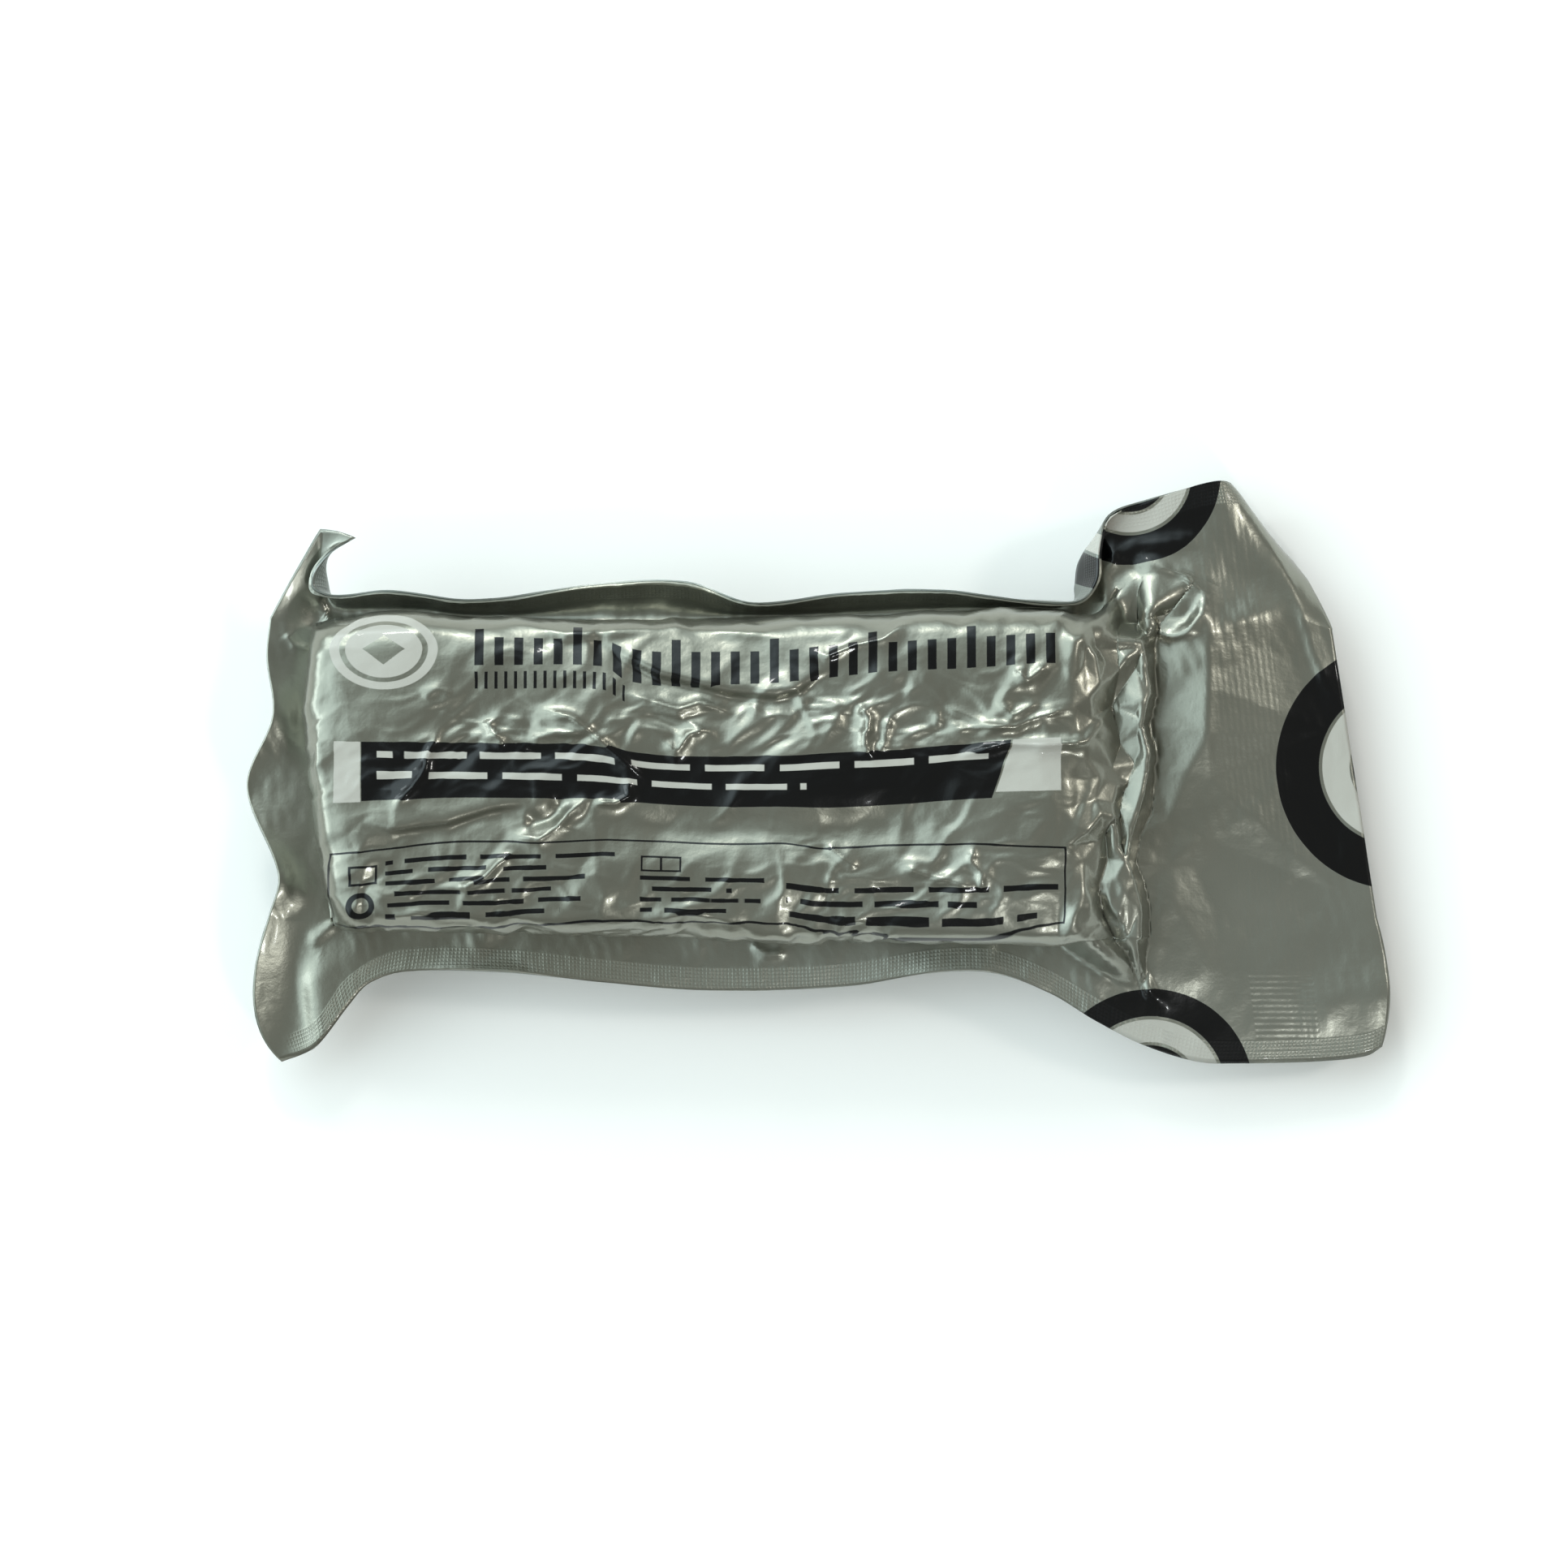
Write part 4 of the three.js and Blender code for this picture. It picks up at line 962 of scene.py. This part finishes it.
# the printed laminate: grey green film, printed rows, embossed seals
def printedLaminate():
    p = Paint(bpy.data.materials.new("printed laminate"))
    x, y = p.flatPlace("print", picture["pixels"])
    walked, inward = p.flatPlace("seal", printing["sealUnit"])
    spot = p.objectPlace()

    def box(left, right, top, bottom, line=0):
        return slab(x, left + line, right - line) * slab(y, top + line, bottom - line)

    # rows of short bars with gaps where the sum of two sines is low, each row with its own rhythm and end
    def bars(top, pitch, thick, rows, left, right):
        down = y - float(top)
        inRow = down.wrap(pitch)
        row = (down - inRow) / pitch
        rhythm = (x * 0.137 + row * 2.3).sin() + (x * 0.071 + row * 5.1).sin()
        words = ((rhythm + 1.15) * 6.0).clamp()
        end = right - (row * 1.7).sin().abs() * (right - left) * 0.3
        return slab(inRow, 1, 1 + thick) * words * slab(down, 0, pitch * rows) * slab(x, left, end)

    # dark print: the long band, the thin frame, two scales of ticks, rows of bars, small signs
    slanted = x + (y - artwork["band"][2]) * artwork["slant"]
    band = slab(slanted, *artwork["bandSlant"]) * box(*artwork["band"])
    dark = band + box(*artwork["frame"]) - box(*artwork["frame"], artwork["frameLine"])
    fromTick = x - (artwork["ticks"][0] + 2)
    tick = slab(fromTick.wrap(artwork["tickPitch"]), 1, artwork["tickWide"])
    tall = slab(fromTick.wrap(artwork["tallPitch"]), 0, artwork["tallWide"])
    dark = dark + box(*artwork["ticks"]) * tick * (tall + slab(y, *artwork["tickTop"])).clamp()
    smallTick = slab(fromTick.wrap(artwork["smallPitch"]), 1, artwork["smallWide"])
    dark = dark + box(*artwork["smallTicks"]) * smallTick
    for rows in artwork["text"]:
        dark = dark + bars(*rows)
    whole, first, second = [box(*cell) for cell in artwork["cells"]]
    dark = dark + whole - first - second
    dark = dark + box(*artwork["square"]) - box(*artwork["square"], artwork["squareLine"])
    centreX, centreY, inner, outer = artwork["ring"]
    dark = dark + slab(distance(x - centreX, y - centreY), inner, outer)

    # pale print: the tab and panel beside the band, bars on it, and the emblem: a disc less a groove and a
    # diamond
    pale = box(*artwork["tab"]) + box(*artwork["panel"]) * slab(slanted, *artwork["panelSlant"])
    pale = pale + bars(*artwork["bandBars"]) * band
    dx, dy = x - artwork["emblem"][0], (y - artwork["emblem"][1]) * artwork["emblemSquash"]
    radius = distance(dx, dy)
    disc = slab(radius, -1, artwork["disc"], 1.0) * (1 - slab(radius, *artwork["groove"], 1.0))
    pale = pale + disc * (1 - slab(dx.abs() + dy.abs(), -1, artwork["diamond"], 1.0))

    # concentric arcs at the corners and the mouth: two dark and one pale
    for centreX, centreY, inner, middle, outer in artwork["arcs"]:
        radius = distance(x - float(centreX), y - float(centreY))
        dark = dark + slab(radius, middle, outer) + slab(radius, -1.0, inner)
        pale = pale + slab(radius, inner + artwork["arcGap"], middle - artwork["arcGap"])
    dark, pale = dark.clamp(), pale.clamp()

    # the film itself: broad drifts of tone
    # random broad patches of colour: darker and warmer in some places, lighter and cooler in others
    warmDark = p.drift(spot, *laminate["warmDarkDrift"])
    cool = p.drift(spot, *laminate["coolDrift"]) * 0.5
    colour = p.mix(cool, p.mix(warmDark, laminate["warmDark"], laminate["colour"]), laminate["cool"])
    colour = p.mix(pale, p.mix(dark, colour, ink["dark"]), ink["pale"])

    # relief: the mesh along the long edges, ribs in the band across the header, and the film's own grain
    mouthAt = x + (y - laminate["level"]) * laminate["mouthSlant"]
    offMouth = 1 - slab(mouthAt, *laminate["mouthAlong"]) * slab(y, *laminate["mouthOver"])
    meshZone = slab(inward, *seal["zone"]) * slab(walked, *laminate["sealFrom"]) * offMouth
    bandAt = x + (laminate["level"] - y) * laminate["ribSlant"]
    ribZone = slab(bandAt, *laminate["ribAlong"])
    ribs = (bandAt * (seal["turn"] / laminate["ribPitch"])).sin() * ribZone
    crossRibs = (y * (seal["turn"] / laminate["crossPitch"])).sin()
    crossRibs = crossRibs * ribZone * slab(y, *laminate["crossOver"])
    grain = 0.0
    for scale in laminate["grainStretch"]:
        vector = p.node("ShaderNodeMapping", {}, {"Vector": spot, "Scale": scale})
        grain = p.noise(vector, 2.0, 2.0) + grain
    height = p.noise(spot, 230.0, 4.0, 0.6) * laminate["ripple"]
    height = height + embossed(walked, inward) * meshZone * laminate["mesh"]
    height = height + ribs * laminate["rib"] + crossRibs * laminate["crossRib"]
    height = height + grain * laminate["grain"] + p.noise(spot, 420.0, 3.0) * laminate["pucker"]
    rough = p.noise(spot, 60.0, 3.0) * 0.12 + laminate["rough"] + meshZone * laminate["sealRough"]
    metal = (1 - (dark + pale).clamp()) * laminate["metal"]
    coat = dark * laminate["inkCoat"] + laminate["coat"]
    return p.finish(Base_Color=colour, Roughness=rough, Metallic=metal, Normal=p.bump(height),
                    Coat_Weight=coat, Coat_Roughness=laminate["coatRough"],
                    Specular_IOR_Level=laminate["specular"])


# The plain laminate underneath, with the same mesh along its seals. Its colour changes where the far
# corner's print shows through the curl.
backLaminate = {
    "low": (0.19, 0.2, 0.175), "high": (0.235, 0.255, 0.235), "drift": (18.0, 2.0, 0.4, 3.0),
    "corner": (1392.0, 584.0), "dark": (112, 150), "pale": (84, 108), "metal": 0.6, "rough": 0.22,
    "coat": 0.2, "coatRough": 0.1, "mesh": 0.04, "pucker": 0.012,
}


def plainLaminate():
    p = Paint(bpy.data.materials.new("plain laminate"))
    walked, inward = p.flatPlace("seal", printing["sealUnit"])
    x, y = p.flatPlace("print", picture["pixels"])
    spot = p.objectPlace()
    drift = p.drift(spot, *backLaminate["drift"])
    fromCorner = distance(x - backLaminate["corner"][0], y - backLaminate["corner"][1])
    dark, pale = slab(fromCorner, *backLaminate["dark"]), slab(fromCorner, *backLaminate["pale"])
    colour = p.mix(dark, p.mix(drift, backLaminate["low"], backLaminate["high"]), ink["dark"])
    colour = p.mix(pale, colour, ink["pale"])
    height = embossed(walked, inward) * slab(inward, *seal["zone"]) * backLaminate["mesh"]
    height = height + p.noise(spot, 420.0, 3.0) * backLaminate["pucker"]
    rough = p.noise(spot, 60.0, 3.0) * 0.14 + backLaminate["rough"]
    metal = (1 - (dark + pale).clamp()) * backLaminate["metal"]
    return p.finish(Base_Color=colour, Roughness=rough, Metallic=metal, Normal=p.bump(height),
                    Coat_Weight=backLaminate["coat"], Coat_Roughness=backLaminate["coatRough"])


# off white woven wrap: the product of two sine waves, one along it and one round it
wrap = {"threads": 5200.0, "low": (0.62, 0.6, 0.54), "high": (0.8, 0.78, 0.72), "rough": 0.88}


def wovenWrap():
    p = Paint(bpy.data.materials.new("woven wrap"))
    spot = p.objectPlace()
    x, y, z = p.axes(spot)
    weave = (x * wrap["threads"]).sin() * ((y + z) * wrap["threads"]).sin()
    colour = p.mix((weave * 0.3 + p.noise(spot, 80.0, 3.0) * 0.6).clamp(), wrap["low"], wrap["high"])
    return p.finish(Base_Color=colour, Roughness=wrap["rough"], Normal=p.bump(weave * 0.15, 0.6))


frontFilm.data.materials.append(printedLaminate())
backFilm.data.materials.append(plainLaminate())
foldedBandage.data.materials.append(wovenWrap())
print("materials made")

for piece, node, slot in ((frontFilm, "front_film", "front_film"), (backFilm, "back_film", "back_film"),
                          (foldedBandage, "bandage_pack", "bandage")):
    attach(piece, "root")
    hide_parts(node)

# Floor, light and camera. The room is brown and dark straight overhead and at eye level, with a bright cool
# ring between them that is strongest towards the windows at the left and far sides.
studio = {
    "floor": (0.97, 0.94, 0.91), "floorRough": 0.9, "half": 4, "height": 1.5, "plane": 0.014, "sensor": 36,
    "far": 20, "window": (1.88, 2.3, 2.4), "room": (0.24, 0.245, 0.222), "toWindow": (-0.80, 0.42),
    "ringTop": (0.985, 9.0), "ringFoot": (0.1, 3.0), "turn": (2.0, 0.12),
}
floorMesh = bpy.data.meshes.new("floor")
half = studio["half"]
floorCorners = [(-half, -half, 0), (half, -half, 0), (half, half, 0), (-half, half, 0)]
floorMesh.from_pydata(floorCorners, [], [(0, 1, 2, 3)])
floor = placed(floorMesh)
floorPaint = Paint(bpy.data.materials.new("pale floor"))
floorMesh.materials.append(floorPaint.finish(Base_Color=studio["floor"], Roughness=studio["floorRough"]))

bpy.context.scene.world = bpy.data.worlds.new("studio")
room = Paint(bpy.context.scene.world)
east, north, up = room.axes(room.node("ShaderNodeTexCoord", {}, (), "Generated"))
toWindow = east * studio["toWindow"][0] + north * studio["toWindow"][1]
(top, topSharp), (foot, footSharp), (turn, turnBase) = studio["ringTop"], studio["ringFoot"], studio["turn"]
ring = ((top - up) * topSharp).clamp() * ((up - foot) * footSharp).clamp()
sky = room.mix(ring * (toWindow * turn + turnBase).clamp(), studio["room"], studio["window"])
room.plug(room.tree.nodes["Background"].inputs[0], sky)
bpy.context.scene.view_settings.view_transform = "Standard"

lights = {
    "window left": {"at": (-1.6, 0.1, 0.8), "size": (1.1, 0.5), "power": 6, "colour": (0.86, 0.97, 1.0)},
    "window far": {"at": (-0.7, 1.4, 0.8), "size": (1.0, 0.4), "power": 4.5, "colour": (0.90, 0.99, 1.0)},
    "lamp right": {"at": (1.2, 0.35, 0.95), "size": (0.2, 0.2), "power": 3.6, "colour": (1.0, 0.98, 0.94)},
    "lamp far": {"at": (-0.25, 1.2, 0.95), "size": (0.2, 0.2), "power": 3.6, "colour": (1.0, 0.99, 0.97)},
    "lamp near": {"at": (0.55, -0.9, 1.1), "size": (0.15, 0.15), "power": 3, "colour": (0.97, 1.0, 1.0)},
}
for name, light in lights.items():
    data = bpy.data.lights.new(name, "AREA")
    data.shape = "RECTANGLE"
    data.size, data.size_y = light["size"]
    data.energy, data.color = light["power"], light["colour"]
    lamp = placed(data)
    lamp.location = light["at"]
    lamp.rotation_euler = (-Vector(light["at"])).to_track_quat("-Z", "Y").to_euler()

# the camera looks straight down on the middle of the picture, from where its frame is the picture's width
cameraData = bpy.data.cameras.new("camera")
camera = placed(cameraData)
centre = picture["pixels"] / 2
cameraX = ((centre - picture["middle"][0]) * picture["perPixel"] + pouch["shift"][0]) * milli
cameraY = ((picture["middle"][1] - centre) * picture["perPixel"] + pouch["shift"][1]) * milli
camera.location = (cameraX, cameraY, studio["height"])
cameraData.sensor_width = studio["sensor"]
frameWidth = picture["pixels"] * picture["perPixel"] * milli
cameraData.lens = studio["sensor"] * (studio["height"] - studio["plane"]) / frameWidth
cameraData.clip_end = studio["far"]
bpy.context.scene.camera = camera
print("studio ready")
